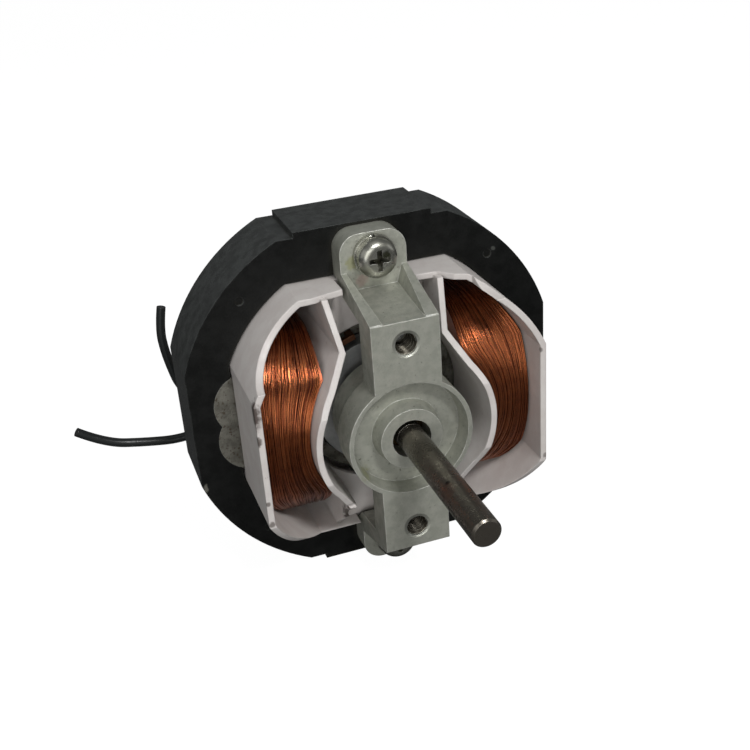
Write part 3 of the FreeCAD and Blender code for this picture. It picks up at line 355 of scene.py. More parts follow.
class SharedEffects:
    """Node groups that several finishes use.

    Attributes:
        patches: Noise levels between which mottled patches fade.
        speck_level: Noise level over which specks show.
        speck_gain: How sharply a speck ends.
        edge_turn: Turns of the normal between which an edge is lightened.
        edge_breaks: Noise levels that break up the lightened edges.
        groove: Distances from a sheet's middle between which the groove falls.
        groove_breaks: Noise levels that vary the groove's depth.
        ring_slant: How far the turned marks shift with the distance from the axis.
        corner: Shares of hidden sky between which dirt gathers.
        spot_edge: Distances between which a mark fades.
    """

    patches: Limits = (0.35, 0.65)
    speck_level: float = 0.78
    speck_gain: float = 22.0
    edge_turn: Limits = (0.02, 0.22)
    edge_breaks: Limits = (0.32, 0.6)
    groove: Limits = (0.36, 0.5)
    groove_breaks: Limits = (0.3, 0.6)
    ring_slant: float = 1.7
    # corner: Shares of hidden sky between which the dirt and the painted shade gather.
    corner: Limits = (0.12, 0.75)
    spot_edge: Limits = (1.05, 1.6)

    def __init__(self) -> None:
        """Build every group once."""
        place = ("Vector", None)
        self.mottle = make_group("mottle", [place, ("Scale", 300.0)], ["Mask"], self._mottle)
        self.specks = make_group("specks", [place, ("Scale", 900.0), ("Share", 0.1)], ["Mask"],
                                 self._specks)
        self.edges = make_group("edge_wear_and_glint", [place, ("Radius", 0.0003), ("Amount", 1.0)], ["Mask"],
                                self._edges)
        self.grain = make_group("grain", [place, ("Scale", 3000.0)], ["Height"], self._grain)
        self.sheets = make_group("sheets", [place, ("Pitch", 0.0005)], ["Height", "Line"], self._sheets)
        self.rings = make_group("rings", [place, ("Scale", 4000.0)], ["Height"], self._rings)
        self.dirt_and_shade = make_group("dirt_and_shade", [place, ("Reach", 0.0016)], ["Mask"], self._dirt_and_shade)
        self.mouth = make_group("hole_mouths", [place], ["Height"], self._mouth)
        self.spot = make_group("spot", [place, ("Centre", None), ("Reach", None)], ["Mask"], self._spot)

    def _mottle(self, graph: Graph, given: dict) -> dict:
        """Cloudy patches of two sizes."""
        noise = graph.noise(given["Vector"], given["Scale"], 5.0, 0.6)
        return {"Mask": graph.ramp(noise, self.patches)}

    def _specks(self, graph: Graph, given: dict) -> dict:
        """Small scattered dots whose share of the surface can be set."""
        noise = graph.noise(given["Vector"], given["Scale"], 3.0, 0.55)
        limit = graph.maths("SUBTRACT", self.speck_level, graph.maths("MULTIPLY", given["Share"], 0.5))
        above = graph.maths("SUBTRACT", noise, limit)
        return {"Mask": graph.maths("MULTIPLY", above, self.speck_gain, clamp=True)}

    def _edges(self, graph: Graph, given: dict) -> dict:
        """Edges found where the rounded normal leaves the true one, broken up by noise."""
        bevel = graph.add("ShaderNodeBevel", {"Radius": given["Radius"]}, samples=6)
        true = graph.add("ShaderNodeNewGeometry")
        same = graph.add("ShaderNodeVectorMath", {0: bevel.outputs[0], 1: true.outputs["Normal"]},
                         operation="DOT_PRODUCT")
        turn = graph.ramp(graph.maths("SUBTRACT", 1.0, same.outputs["Value"]), self.edge_turn)
        broken = graph.ramp(graph.noise(given["Vector"], 700.0, 4.0, 0.6), self.edge_breaks)
        lightened = graph.maths("MULTIPLY", turn, broken)
        return {"Mask": graph.maths("MULTIPLY", lightened, given["Amount"], clamp=True)}

    def _grain(self, graph: Graph, given: dict) -> dict:
        """Fine even grain."""
        return {"Height": graph.noise(given["Vector"], given["Scale"], 4.0, 0.65)}

    def _sheets(self, graph: Graph, given: dict) -> dict:
        """Stacked sheets along Y: a groove between each two, deeper here and there."""
        parts = graph.add("ShaderNodeSeparateXYZ", {0: given["Vector"]})
        step = graph.maths("DIVIDE", parts.outputs["Y"], given["Pitch"])
        away = graph.maths("ABSOLUTE", graph.maths("SUBTRACT", graph.maths("FRACT", step), 0.5))
        breaks = graph.ramp(graph.noise(given["Vector"], 250.0, 3.0), self.groove_breaks)
        depth = graph.maths("MULTIPLY", graph.ramp(away, self.groove), breaks)
        sheet = graph.add("ShaderNodeTexWhiteNoise", {"W": graph.maths("FLOOR", step)},
                          noise_dimensions="1D")
        height = graph.maths("SUBTRACT", graph.maths("MULTIPLY", sheet.outputs["Value"], 0.5), depth)
        return {"Height": height, "Line": depth}

    def _rings(self, graph: Graph, given: dict) -> dict:
        """Fine turned or ground marks round the shaft's axis."""
        parts = graph.add("ShaderNodeSeparateXYZ", {0: given["Vector"]})
        flat = graph.add("ShaderNodeCombineXYZ", {0: parts.outputs["X"], 1: 0.0, 2: parts.outputs["Z"]})
        out = graph.add("ShaderNodeVectorMath", {0: flat.outputs[0]}, operation="LENGTH")
        place = graph.maths("ADD", parts.outputs["Y"],
                            graph.maths("MULTIPLY", out.outputs["Value"], self.ring_slant))
        noise = graph.add("ShaderNodeTexNoise", {"W": place, "Scale": given["Scale"], "Detail": 3.0},
                          noise_dimensions="1D")
        return {"Height": noise.outputs[0]}

    def _dirt_and_shade(self, graph: Graph, given: dict) -> dict:
        """Painted shade and dirt in corners and crevices, from ambient occlusion, uneven."""
        open_sky = graph.add("ShaderNodeAmbientOcclusion", {"Distance": given["Reach"]}, samples=6)
        shut = graph.ramp(graph.maths("SUBTRACT", 1.0, open_sky.outputs["AO"]), self.corner)
        patchy = graph.maths("ADD", graph.noise(given["Vector"], 900.0, 4.0), 0.35)
        return {"Mask": graph.maths("MULTIPLY", shut, patchy, clamp=True)}

    def _mouth(self, graph: Graph, given: dict) -> dict:
        """Shallow countersinks round the two tapped holes."""
        parts = graph.add("ShaderNodeSeparateXYZ", {0: given["Vector"]})
        high = graph.maths("SUBTRACT", graph.maths("ABSOLUTE", parts.outputs["Z"]), HOLE_HEIGHT * MM)
        flat = graph.add("ShaderNodeCombineXYZ", {0: parts.outputs["X"], 1: high, 2: 0.0})
        away = graph.add("ShaderNodeVectorMath", {0: flat.outputs[0]}, operation="LENGTH")
        limits = (HOLE_RADIUS * MM, MOUTH_RADIUS * MM)
        return {"Height": graph.ramp(away.outputs["Value"], limits, smooth=False)}

    def _spot(self, graph: Graph, given: dict) -> dict:
        """A ragged round mark."""
        offset = graph.add("ShaderNodeVectorMath", {0: given["Vector"], 1: given["Centre"]},
                           operation="SUBTRACT")
        scaled = graph.add("ShaderNodeVectorMath", {0: offset.outputs[0], 1: given["Reach"]},
                           operation="DIVIDE")
        away = graph.add("ShaderNodeVectorMath", {0: scaled.outputs[0]}, operation="LENGTH")
        rough = graph.maths("MULTIPLY", graph.noise(given["Vector"], 1300.0, 4.0), 1.1)
        ragged = graph.maths("ADD", away.outputs["Value"], rough)
        return {"Mask": graph.maths("SUBTRACT", 1.0, graph.ramp(ragged, self.spot_edge))}


class Surface:
    """One material while its colour and relief are put together.

    Attributes:
        cloud_grains: Size of the mottled patches in grains.
        speck_grains: Size of the specks in grains.
        speck_cover: Share of the speck's colour at its middle.
        wire_shares: Shares of the wire's own tint and of the clouds.
        groove_dark: Brightness of the groove between two sheets.
        groove_cover: Share of that dark in the groove.
        rim_wear: Gain and start of the wear on a stack's cut edges.
        sheet_relief: Height of the sheets in units of the relief.
        mouth_relief: Height of the countersinks in units of the relief.
        wear_and_glint_reach: Reach of the lightened edges in soft edges.
        coat_roughness: Roughness of the clear coat.
    """

    cloud_grains: float = 8
    speck_grains: float = 2
    speck_cover: float = 0.7
    wire_shares: Limits = (0.7, 0.3)
    groove_dark: float = 0.45
    groove_cover: float = 0.7
    rim_wear: Limits = (0.25, 0.3)
    sheet_relief: float = 0.9
    mouth_relief: float = 6.0
    wear_and_glint_reach: float = 1.6
    coat_roughness: float = 0.25

    def __init__(self, material: bpy.types.Material, finish: Finish, effects: SharedEffects) -> None:
        """Start with the mottled colour and the fine relief.

        Args:
            material: Material to build.
            finish: Its looks.
            effects: Node groups used by every material.
        """
        self.finish = finish
        self.effects = effects
        self.tree = material.node_tree
        self.graph = Graph(self.tree)
        self.place = self.graph.add("ShaderNodeTexCoord").outputs["Object"]
        self.clouds = self.effect(effects.mottle, Scale=self.frequency(self.cloud_grains))["Mask"]
        self.colour = self.graph.blend(self.cloud_share(), finish.base, finish.tone)
        marks = effects.rings if finish.pattern is Pattern.RINGS else effects.grain
        self.height = self.effect(marks, Scale=self.frequency(1))["Height"]

    def effect(self, tree: bpy.types.NodeTree, **inputs) -> bpy.types.NodeOutputs:
        """Add a shared effect and return its outputs."""
        return self.graph.add("ShaderNodeGroup", {"Vector": self.place, **inputs}, node_tree=tree).outputs

    def frequency(self, grains: float) -> float:
        """Scale of a noise whose patches are a number of grains wide."""
        return 1 / (self.finish.grain * grains * MM)

    def cloud_share(self) -> Socket:
        """Share of the second colour at each place."""
        if self.finish.pattern is not Pattern.WIRE:
            return self.graph.maths("MULTIPLY", self.clouds, self.finish.mottle)
        own, patchy = self.wire_shares
        tint = self.graph.add("ShaderNodeAttribute", attribute_name="tint").outputs["Fac"]
        return self.graph.maths("MULTIPLY_ADD", tint, own,
                                self.graph.maths("MULTIPLY", self.clouds, patchy), clamp=True)

    def cover(self, mask: Socket, strength: float, colour: Tone) -> None:
        """Lay a colour over the surface where a mask says."""
        share = self.graph.maths("MULTIPLY", mask, strength)
        self.colour = self.graph.blend(share, self.colour, colour)

    def add_sheets(self) -> None:
        """Show the sheets of a stack on its cut edges, rubbed and grooved."""
        graph = self.graph
        sheets = self.effect(self.effects.sheets)
        rim = self.rim()
        dark = tuple(part * self.groove_dark for part in self.finish.base)
        self.cover(graph.maths("MULTIPLY", sheets["Line"], rim), self.groove_cover, dark)
        gain, start = self.rim_wear
        lightened = graph.maths("MULTIPLY", rim, graph.maths("MULTIPLY_ADD", self.clouds, gain, start))
        self.colour = graph.blend(lightened, self.colour, self.finish.worn_and_glint)
        self.height = graph.maths("MULTIPLY_ADD", graph.maths("MULTIPLY", sheets["Height"], rim),
                                  self.sheet_relief, self.height)

    def rim(self) -> Socket:
        """1 on faces that look away from the Y axis, 0 on the front and back of a stack."""
        true = self.graph.add("ShaderNodeNewGeometry")
        parts = self.graph.add("ShaderNodeSeparateXYZ", {0: true.outputs["Normal"]})
        along = self.graph.maths("ABSOLUTE", parts.outputs["Y"])
        return self.graph.maths("LESS_THAN", along, 0.5)

    def add_mouths(self) -> None:
        """Sink the mouths of the tapped holes."""
        mouth = self.effect(self.effects.mouth)["Height"]
        self.height = self.graph.maths("MULTIPLY_ADD", mouth, self.mouth_relief, self.height)

    def add_marks(self) -> None:
        """Lay specks, lightened edges (rubbed wear, and a painted highlight on some finishes), corner dirt
        with painted shade, and the marks at known places over the colour.
        """
        finish = self.finish
        if finish.specks > 0:
            dots = self.effect(self.effects.specks, Scale=self.frequency(self.speck_grains),
                               Share=finish.specks)
            self.cover(dots["Mask"], self.speck_cover, finish.speck)
        # Lighten the edges: rubbed wear, and on the casting and the thread a painted highlight.
        if finish.wear_and_glint > 0:
            lightened = self.effect(self.effects.edges, Radius=finish.soft_edge * self.wear_and_glint_reach * MM,
                                 Amount=finish.wear_and_glint)
            self.colour = self.graph.blend(lightened["Mask"], self.colour, finish.worn_and_glint)
        # Darken corners and crevices by ambient occlusion: painted shade, with a dirt tone.
        if finish.dirt_and_shade > 0:
            self.cover(self.effect(self.effects.dirt_and_shade)["Mask"], finish.dirt_and_shade, DIRT_AND_SHADE)
        for spot in finish.spots:
            reach = tuple(spot.radius * part * MM for part in spot.stretch)
            centre = tuple(part * MM for part in spot.centre)
            mark = self.effect(self.effects.spot, Centre=centre, Reach=reach)
            self.cover(mark["Mask"], spot.strength, spot.colour)

    def connect(self) -> None:
        """Feed the colour, the roughness and the relief to the shader."""
        finish = self.finish
        shader = self.tree.nodes["Principled BSDF"]
        rough = self.graph.maths("MULTIPLY_ADD", self.clouds, finish.uneven,
                                 finish.roughness - finish.uneven / 2)
        soft = self.graph.add("ShaderNodeBevel", {"Radius": finish.soft_edge * MM}, samples=6)
        bump = self.graph.add("ShaderNodeBump", {"Strength": 1.0, "Distance": finish.relief * MM,
                                                 "Height": self.height, "Normal": soft.outputs[0]})
        self.tree.links.new(self.colour, shader.inputs["Base Color"])
        self.tree.links.new(rough, shader.inputs["Roughness"])
        self.tree.links.new(bump.outputs[0], shader.inputs["Normal"])
        shader.inputs["Metallic"].default_value = finish.metallic
        shader.inputs["Specular IOR Level"].default_value = finish.shine
        shader.inputs["Coat Weight"].default_value = finish.coat
        shader.inputs["Coat Roughness"].default_value = self.coat_roughness


def make_material(finish: Finish, effects: SharedEffects) -> bpy.types.Material:
    """Build the material of one finish.

    Args:
        finish: Looks of the material.
        effects: Node groups used by every material.

    Returns:
        The new material.
    """
    material = bpy.data.materials.new(finish.name)
    material.use_nodes = True
    surface = Surface(material, finish, effects)
    if finish.pattern is Pattern.SHEETS:
        surface.add_sheets()
    if finish.mouths:
        surface.add_mouths()
    surface.add_marks()
    surface.connect()
    return material


def lone_selection(thing: bpy.types.Object) -> None:
    """Select and activate one object alone."""
    bpy.ops.object.select_all(action="DESELECT")
    thing.select_set(True)
    bpy.context.view_layer.objects.active = thing


def add_curve(name: str, bevel: float, resolution: int) -> bpy.types.Object:
    """Add an empty curve with a round section.

    Args:
        name: Name of the object and its curve.
        bevel: Radius of the section.
        resolution: Fineness of the section.

    Returns:
        The new object.
    """
    curve = bpy.data.curves.new(name, "CURVE")
    curve.dimensions = "3D"
    curve.bevel_depth = bevel
    curve.bevel_resolution = resolution
    thing = bpy.data.objects.new(name, curve)
    bpy.context.scene.collection.objects.link(thing)
    return thing


@dataclass
class NewPiece(ABC):
    """A piece that only the scene holds.

    Attributes:
        name: Name of the piece.
        finish: Looks of the piece.
    """

    name: str
    finish: ClassVar[Finish]

    @abstractmethod
    def build(self) -> bpy.types.Object:
        """Make the piece and return it."""


@dataclass(frozen=True)
class Layer:
    """One layer of wires on a coil.

    Attributes:
        wires: Number of wires.
        lift: Height above the solid's skin in millimetres.
        loose: Whether its wires lie crossed and uneven.
    """

    wires: int
    lift: float
    loose: bool = False


@dataclass(frozen=True)
class Unevenness:
    """How far wires stray from an even winding, in shares of the wires' spacing.

    Attributes:
        tight_sway: Least and greatest sway of a wire in an even layer.
        loose_sway: Greatest sway of a wire in a loose layer.
        loose_shift: Greatest shift of a wire in a loose layer.
        ripple: Depth of the small waves.
        ripples: Number of the small waves round the coil.
        sway_phase: How far the sway's start follows that of the small waves.
        margin: Share of the layer's width that loose wires keep free at its edges.
    """

    tight_sway: Limits = (0.15, 0.5)
    loose_sway: float = 2.6
    loose_shift: float = 1.0
    ripple: float = 0.18
    ripples: int = 5
    sway_phase: float = 0.3
    margin: float = 0.06


@dataclass
class WoundCoil(NewPiece):
    """Wire wound over one coil's solid stand-in.

    Lengths are in millimetres. X counts outwards from the motor's middle plane, and Y is the depth.

    Attributes:
        side: -1 for the left coil and 1 for the right one.
        seed: Seed of the small unevenness.
        wire_rad: Radius of the wire.
        layers: Layers of wire, the inner one first.
        stray: Unevenness of the wires.
        near_rise: Crown of the front at its inner edge.
        near_edge: X of that edge.
        far_rise: Crown of the front at its outer edge.
        far_edge: X of that edge.
        front: Depth of the front's shoulders.
        round_rad: Radius of the top and bottom.
        shoulder: Height at which the top's round starts.
        round_depth: Depth of the round's centre.
        corner: Share of the way round that each round takes.
        inner_wall: X of the bobbin's straight inner wall.
        inner_wall_low: Least height of that wall, where the curved one ends.
        inner_wall_rad: Radius of the curved inner wall.
        outer_wall: X of the bobbin's straight outer wall.
        outer_wall_rad: Radius of the curved outer wall.
        wall_gap: Room between a wall and the nearest wire.
        first_x: X from which the search for a wire's place starts.
        round_steps: Places along each round.
        face_steps: Places along the front.
        tints: Tint of each wire.
    """

    finish: ClassVar[Finish] = ENAMEL
    side: int
    seed: int
    wire_rad: float = 0.12
    layers: tuple[Layer, ...] = (Layer(48, 0.03), Layer(34, 0.21, loose=True))
    stray: Unevenness = Unevenness()
    near_rise: float = 6.0
    near_edge: float = 11.8
    far_rise: float = 3.2
    far_edge: float = 26.8
    front: float = 9.8
    round_rad: float = 8.5
    shoulder: float = 9.5
    round_depth: float = 18.3
    corner: float = 0.12
    inner_wall: float = 12.9
    inner_wall_low: float = 11.0
    inner_wall_rad: float = 16.92
    outer_wall: float = 25.28
    outer_wall_rad: float = 27.78
    wall_gap: float = 0.06
    first_x: float = 19.0
    round_steps: int = 11
    face_steps: int = 26
    tints: list[float] = field(default_factory=list)

    def crown(self, x: float) -> float:
        """Rise of the coil's front at a distance from the middle plane."""
        share = (self.far_edge - x) / (self.far_edge - self.near_edge)
        return self.far_rise + (self.near_rise - self.far_rise) * share

    def limits(self, z: float) -> Limits:
        """Innermost and outermost place of a wire at one height."""
        room = self.wire_rad + self.wall_gap
        near = self.inner_wall
        if abs(z) <= self.inner_wall_low:
            near = math.sqrt(self.inner_wall_rad ** 2 - z * z)
        far = min(self.outer_wall, math.sqrt(self.outer_wall_rad ** 2 - z * z))
        return near + room, far - room

    def outline(self, x: float, lift: float, turn: float) -> tuple[float, float]:
        """Depth and height of the coil's skin.

        Args:
            x: Distance from the middle plane.
            lift: Height above the solid's skin.
            turn: Way round the coil, 0 to 1, the front first.

        Returns:
            The depth and the height in millimetres.
        """
        if turn >= 0.5:
            depth, high = self.outline(x, lift, turn - 0.5)
            return MIRROR - depth, -high
        rise = self.crown(x)
        big = ((self.round_rad + rise) ** 2 - self.round_rad ** 2 + self.shoulder ** 2) / (2 * rise)
        centre = self.front - rise + big
        swing = math.atan2(self.shoulder, centre - self.round_depth)
        share = turn * 2
        edge = self.corner * 2
        if share < edge:
            angle = math.pi / 2 + (share / edge) * (math.pi / 2 - swing)
            return (self.round_depth + (self.round_rad + lift) * math.cos(angle),
                    self.shoulder + (self.round_rad + lift) * math.sin(angle))
        if share > 1 - edge:
            depth, high = self.outline(x, lift, (1 - share) / 2)
            return depth, -high
        angle = swing * (1 - 2 * (share - edge) / (1 - 2 * edge))
        return centre - (big + lift) * math.cos(angle), (big + lift) * math.sin(angle)

    def turns(self) -> list[float]:
        """Ways round the coil at which a wire's places lie."""
        corner = self.corner
        face = 0.5 - 2 * corner
        half = [part / self.round_steps * corner for part in range(self.round_steps)]
        half += [corner + part / self.face_steps * face for part in range(self.face_steps)]
        half += [corner + face + part / self.round_steps * corner for part in range(self.round_steps + 1)]
        return half + [turn + 0.5 for turn in half]

    def wire(self, number: int, layer: Layer, chance: random.Random) -> list[Point]:
        """Places along one wire.

        Args:
            number: Which wire of the layer it is.
            layer: Layer that the wire lies in.
            chance: Source of the unevenness.

        Returns:
            The places in metres.
        """
        stray = self.stray
        count = layer.wires
        home = (number + 0.5) / count
        sway = chance.uniform(*stray.tight_sway) / count
        if layer.loose:
            home += chance.uniform(-stray.loose_shift, stray.loose_shift) / count
            home = min(1 - stray.margin, max(stray.margin, home))
            sway = chance.uniform(-stray.loose_sway, stray.loose_sway) / count
        phase = chance.uniform(0, math.tau)
        places = []
        for turn in self.turns():
            share = home + sway * math.sin(math.tau * turn + phase * stray.sway_phase)
            share += stray.ripple / count * math.sin(math.tau * stray.ripples * turn + phase)
            x = self.first_x
            for _ in range(2):
                _, z = self.outline(x, layer.lift, turn)
                near, far = self.limits(z)
                x = near + (far - near) * min(1.0, max(0.0, share))
            y, z = self.outline(x, layer.lift, turn)
            places.append((self.side * x * MM, y * MM, z * MM))
        return places

    def build(self) -> bpy.types.Object:
        """Make the mesh of all the wires.

        Returns:
            The finished piece, riding on the stator.
        """
        chance = random.Random(self.seed)
        thing = add_curve(self.name, self.wire_rad * MM, 1)
        lengths = []
        for layer in self.layers:
            for number in range(layer.wires):
                places = self.wire(number, layer, chance)
                spline = thing.data.splines.new("POLY")
                spline.points.add(len(places) - 1)
                for point, place in zip(spline.points, places):
                    point.co = (*place, 1.0)
                spline.use_cyclic_u = True
                spline.use_smooth = True
                lengths.append(len(places))
                self.tints.append(chance.random())
        lone_selection(thing)
        bpy.ops.object.convert(target="MESH")
        thing = bpy.context.view_layer.objects.active
        self.tint(thing.data, lengths)
        log.info("%s: %d wires, %d faces", self.name, len(lengths), len(thing.data.polygons))
        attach(thing, "stator")
        return thing

    def tint(self, mesh: bpy.types.Mesh, lengths: Sequence[int]) -> None:
        """Give every wire its own tint.

        Args:
            mesh: Mesh of all the wires, one after the other.
            lengths: Number of places along each wire.
        """
        per_place = len(mesh.vertices) // sum(lengths)
        values = [value for length, value in zip(lengths, self.tints) for _ in range(length * per_place)]
        values += [0.5] * (len(mesh.vertices) - len(values))
        mesh.attributes.new("tint", "FLOAT", "POINT").data.foreach_set("value", values)


@dataclass
class ThreadLiner(NewPiece):
    """Thread cut in one tapped mounting hole, with sizes in millimetres.

    Attributes:
        height: Height of the hole's axis.
        pitch: Rise of one turn.
        outer: Radius of the thread's root.
        inner: Radius of the thread's crest.
        turns: Number of turns.
        start: Depth of the first turn's middle.
        flank: Half width of the thread's foot in pitches.
        steps: Flats in one turn.
    """

    finish: ClassVar[Finish] = THREAD
    height: float
    pitch: float = 0.95
    outer: float = HOLE_RADIUS
    inner: float = 1.5
    turns: int = 5
    start: float = 0.6
    flank: float = 0.46
    steps: int = 48

    def build(self) -> bpy.types.Object:
        """Make the thread's mesh.

        Returns:
            The finished piece, riding on the stator.
        """
        bpy.ops.object.select_all(action="DESELECT")
        bpy.ops.mesh.primitive_circle_add(vertices=3, radius=MM, fill_type="NOTHING")
        thing = bpy.context.view_layer.objects.active
        thing.name = self.name
        half = self.pitch * self.flank
        profile = ((self.outer, -half), (self.inner, 0.0), (self.outer, half))
        for vertex, (out, along) in zip(thing.data.vertices, profile):
            vertex.co = (out * MM, 0.0, along * MM)
        lone_selection(thing)
        screw = thing.modifiers.new("thread", "SCREW")
        screw.axis = "Z"
        screw.angle = math.tau
        screw.screw_offset = self.pitch * MM
        screw.iterations = self.turns
        screw.steps = self.steps
        screw.render_steps = self.steps
        screw.use_smooth_shade = False
        bpy.ops.object.modifier_apply(modifier=screw.name)
        turn = Matrix.Rotation(-math.pi / 2, 4, "X")
        thing.data.transform(Matrix.Translation((0.0, self.start * MM, self.height * MM)) @ turn)
        log.info("%s: %d turns, %d faces", self.name, self.turns, len(thing.data.polygons))
        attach(thing, "stator")
        return thing


@dataclass
class Lead(NewPiece):
    """One bare-ended lead that leaves the left coil.

    Attributes:
        node: CAD node that it stands for.
        level: Depth of the lead in millimetres.
        route: Places along X and Z in millimetres.
        diameter: Outer diameter in millimetres.
    """

    finish: ClassVar[Finish] = LEAD_COVER
    node: str
    level: float
    route: tuple[tuple[float, float], ...]
    diameter: float = 1.8

    def build(self) -> bpy.types.Object:
        """Make the lead as a curve.

        The points' radius is a millimetre and the section is set in millimetres, because Blender counts a
        point's radius in a curve's corners.

        Returns:
            The finished cord, riding on the stator.
        """
        places = [Vector((x, self.level, z)) * MM for x, z in self.route]
        thing = add_curve(self.name, self.diameter / 2, 4)
        curve = thing.data
        curve.use_fill_caps = True
        curve.resolution_u = 16
        spline = curve.splines.new("NURBS")
        spline.points.add(len(places) - 1)
        for point, place in zip(spline.points, places):
            point.co = (*place, 1.0)
            point.radius = MM
        spline.order_u = 3
        spline.use_endpoint_u = True
        bpy.context.view_layer.update()
        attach(thing, "stator")
        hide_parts(self.node)
        return thing


@dataclass
class Motor:
    """The motor's visible pieces and their finishes.

    Attributes:
        effects: Node groups used by every material.
        pieces: Pieces that only the scene holds.
    """

    effects: SharedEffects
    pieces: tuple[NewPiece, ...] = (
        WoundCoil("wire_left", side=-1, seed=11),
        WoundCoil("wire_right", side=1, seed=23),
        ThreadLiner("thread_top", HOLE_HEIGHT),
        ThreadLiner("thread_bottom", -HOLE_HEIGHT),
        Lead("lead_upper_cord", "lead_upper", UPPER_LEVEL, UPPER_ROUTE),
        Lead("lead_lower_cord", "lead_lower", LOWER_LEVEL, LOWER_ROUTE),
    )

    def build(self) -> None:
        """Add the new pieces and dress every piece in its finish."""
        added = [(piece.build(), piece.finish) for piece in self.pieces]
        made = {finish.name: make_material(finish, self.effects) for finish in FINISHES}
        slots = {part["node"]: part["material_slot"] for part in frame["record"]["subparts"]}
        for node, thing in frame["nodes"].items():
            self.dress(thing, made[slots[node]])
        for thing, finish in added:
            self.dress(thing, made[finish.name])

    @staticmethod
    def dress(thing: bpy.types.Object, material: bpy.types.Material) -> None:
        """Give one piece its material."""
        materials = thing.data.materials
        if not materials:
            materials.append(material)
        for number in range(len(materials)):
            materials[number] = material


@dataclass(frozen=True)
class Lamp:
    """One soft area light.

    Attributes:
        name: Name of the light.
        azimuth: Degrees to the right of the front.
        elevation: Degrees above the level.
        reach: Distance in metres.
        size: Edge in metres.
        power: Power in watts.
    """

    name: str
    azimuth: float
    elevation: float
    reach: float
    size: float
    power: float


@dataclass(frozen=True)
class ViewPoint:
    """Where the photograph was taken from, as fitted to it.

    Attributes:
        azimuth: Degrees to the right of the front.
        elevation: Degrees above the level.
        roll: Degrees turned about the line of sight.
        distance: Distance from the target in millimetres.
        target: Place looked at in millimetres.
        focal_length: Focal length in pixels.
        picture: Width of the picture in pixels.
        film: Width of the film in millimetres.
    """

    azimuth: float = -17.3
    elevation: float = 26.76
    roll: float = -4.41
    distance: float = 187.08
    target: Point = (-5.84, 0.0, 13.75)
    focal_length: float = 1125.2
    picture: int = 750
    film: float = 36.0


def direction(azimuth: float, elevation: float) -> Vector:
    """Unit vector from the motor towards a place round it.

    Args:
        azimuth: Degrees to the right of the front.
        elevation: Degrees above the level.

    Returns:
        The unit vector.
    """
    turn = math.radians(azimuth)
    lift = math.radians(elevation)
    return Vector((math.sin(turn) * math.cos(lift), -math.cos(turn) * math.cos(lift), math.sin(lift)))


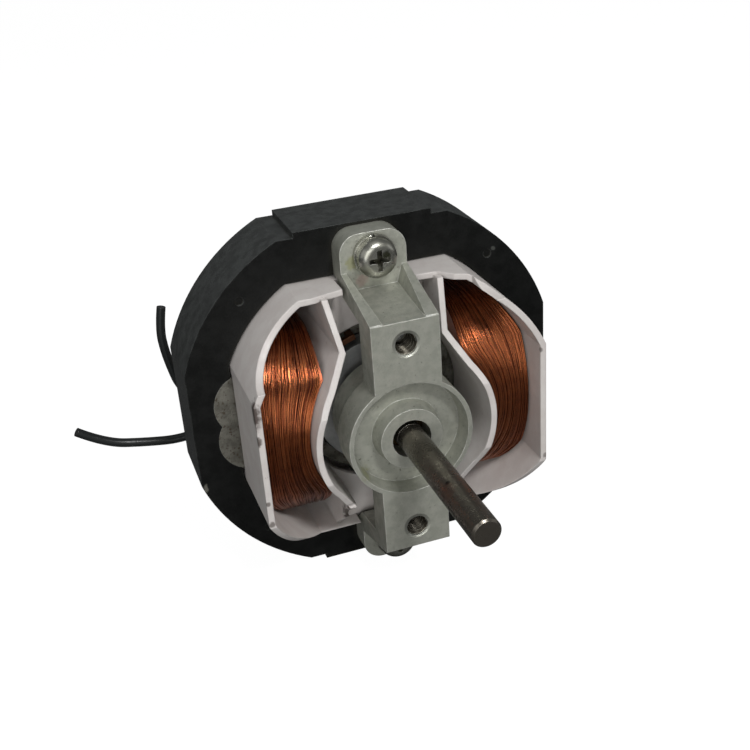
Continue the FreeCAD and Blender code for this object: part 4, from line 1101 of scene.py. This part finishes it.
class Studio:
    """White surroundings, lights and the camera that matches the photograph.

    Attributes:
        lamps: Area lights.
        aim: Place that the lights look at, in metres.
        floor_level: Height of the floor, just under the yoke, in metres.
        floor_grey: Colour of the floor as the light meets it.
        floor_glow: Brightness that only the camera sees on the floor.
        sky: Colour of the surroundings for all but the camera.
    """

    lamps: tuple[Lamp, ...] = (
        Lamp("key", 8.0, 47.0, 0.45, 0.09, 1.05),
        Lamp("front", -24.0, 12.0, 0.6, 0.35, 1.35),
        Lamp("top", -10.0, 82.0, 0.45, 0.3, 0.08),
        Lamp("left_fill", -75.0, 25.0, 0.5, 0.3, 0.15),
        Lamp("right_fill", 70.0, 20.0, 0.5, 0.25, 0.12),
    )
    aim = Vector((0.0, 0.02, 0.0))
    floor_level: float = -0.0341
    floor_grey: Colour = (0.15, 0.15, 0.15)
    floor_glow: Colour = (0.96, 0.96, 0.96)
    sky: Colour = (0.15, 0.153, 0.153)

    def build(self) -> None:
        """Add the floor, the world, the lights and the camera."""
        self._floor()
        self._world()
        for lamp in self.lamps:
            self._light(lamp)
        self._camera(ViewPoint())

    def _floor(self) -> None:
        """White floor that keeps a soft shadow."""
        bpy.ops.object.select_all(action="DESELECT")
        bpy.ops.mesh.primitive_plane_add(size=6.0, location=(0.0, 0.0, self.floor_level))
        floor = bpy.context.view_layer.objects.active
        floor.name = "floor"
        material = bpy.data.materials.new("floor_white")
        material.use_nodes = True
        graph = Graph(material.node_tree)
        shader = material.node_tree.nodes["Principled BSDF"]
        shader.inputs["Base Color"].default_value = (*self.floor_grey, 1.0)
        shader.inputs["Roughness"].default_value = 0.9
        seen = graph.add("ShaderNodeLightPath").outputs["Is Camera Ray"]
        glow = graph.blend(seen, (0.0, 0.0, 0.0), self.floor_glow)
        material.node_tree.links.new(glow, shader.inputs["Emission Color"])
        shader.inputs["Emission Strength"].default_value = 1.0
        floor.data.materials.append(material)
        floor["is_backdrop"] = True

    def _world(self) -> None:
        """White to the camera, a soft grey sky for everything else."""
        world = bpy.data.worlds.new("studio")
        bpy.context.scene.world = world
        world.use_nodes = True
        graph = Graph(world.node_tree)
        shader = world.node_tree.nodes["Background"]
        seen = graph.add("ShaderNodeLightPath").outputs["Is Camera Ray"]
        tone = graph.blend(seen, self.sky, (1.0, 1.0, 1.0))
        world.node_tree.links.new(tone, shader.inputs["Color"])
        shader.inputs["Strength"].default_value = 1.0

    def _light(self, lamp: Lamp) -> None:
        """Add one area light that looks at the motor."""
        way = direction(lamp.azimuth, lamp.elevation)
        data = bpy.data.lights.new(lamp.name, "AREA")
        data.shape = "SQUARE"
        data.size = lamp.size
        data.energy = lamp.power
        light = bpy.data.objects.new(lamp.name, data)
        light.location = self.aim + way * lamp.reach
        light.rotation_euler = way.to_track_quat("Z", "Y").to_euler()
        bpy.context.scene.collection.objects.link(light)

    @staticmethod
    def _camera(view: ViewPoint) -> None:
        """Add the camera at the photograph's point of view."""
        back = direction(view.azimuth, view.elevation)
        roll = math.radians(view.roll)
        right = (-back).cross(Vector((0.0, 0.0, 1.0))).normalized()
        up = right.cross(-back)
        across = right * math.cos(roll) + up * math.sin(roll)
        above = up * math.cos(roll) - right * math.sin(roll)
        data = bpy.data.cameras.new("camera")
        data.sensor_width = view.film
        data.lens = view.focal_length / view.picture * view.film
        data.clip_start = 0.01
        data.dof.use_dof = False
        camera = bpy.data.objects.new("camera", data)
        place = Vector(view.target) * MM + back * view.distance * MM
        turn = Matrix((across, above, back)).transposed().to_4x4()
        camera.matrix_world = Matrix.Translation(place) @ turn
        bpy.context.scene.collection.objects.link(camera)
        bpy.context.scene.camera = camera


def note_sizes(stage: str, noted: dict) -> None:
    """Keep the object's corners for one stage of the script.

    Args:
        stage: Name of the stage.
        noted: Corners of the stages so far.
    """
    noted[stage] = [[float(value) for value in corner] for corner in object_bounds()]


def main() -> None:
    """Build the whole picture."""
    logging.basicConfig(level=logging.INFO)
    noted: dict = {}
    note_sizes("frame", noted)
    bpy.context.scene.view_settings.view_transform = "Standard"
    Motor(SharedEffects()).build()
    Studio().build()
    note_sizes("finished", noted)


if __name__ == "__main__":
    main()
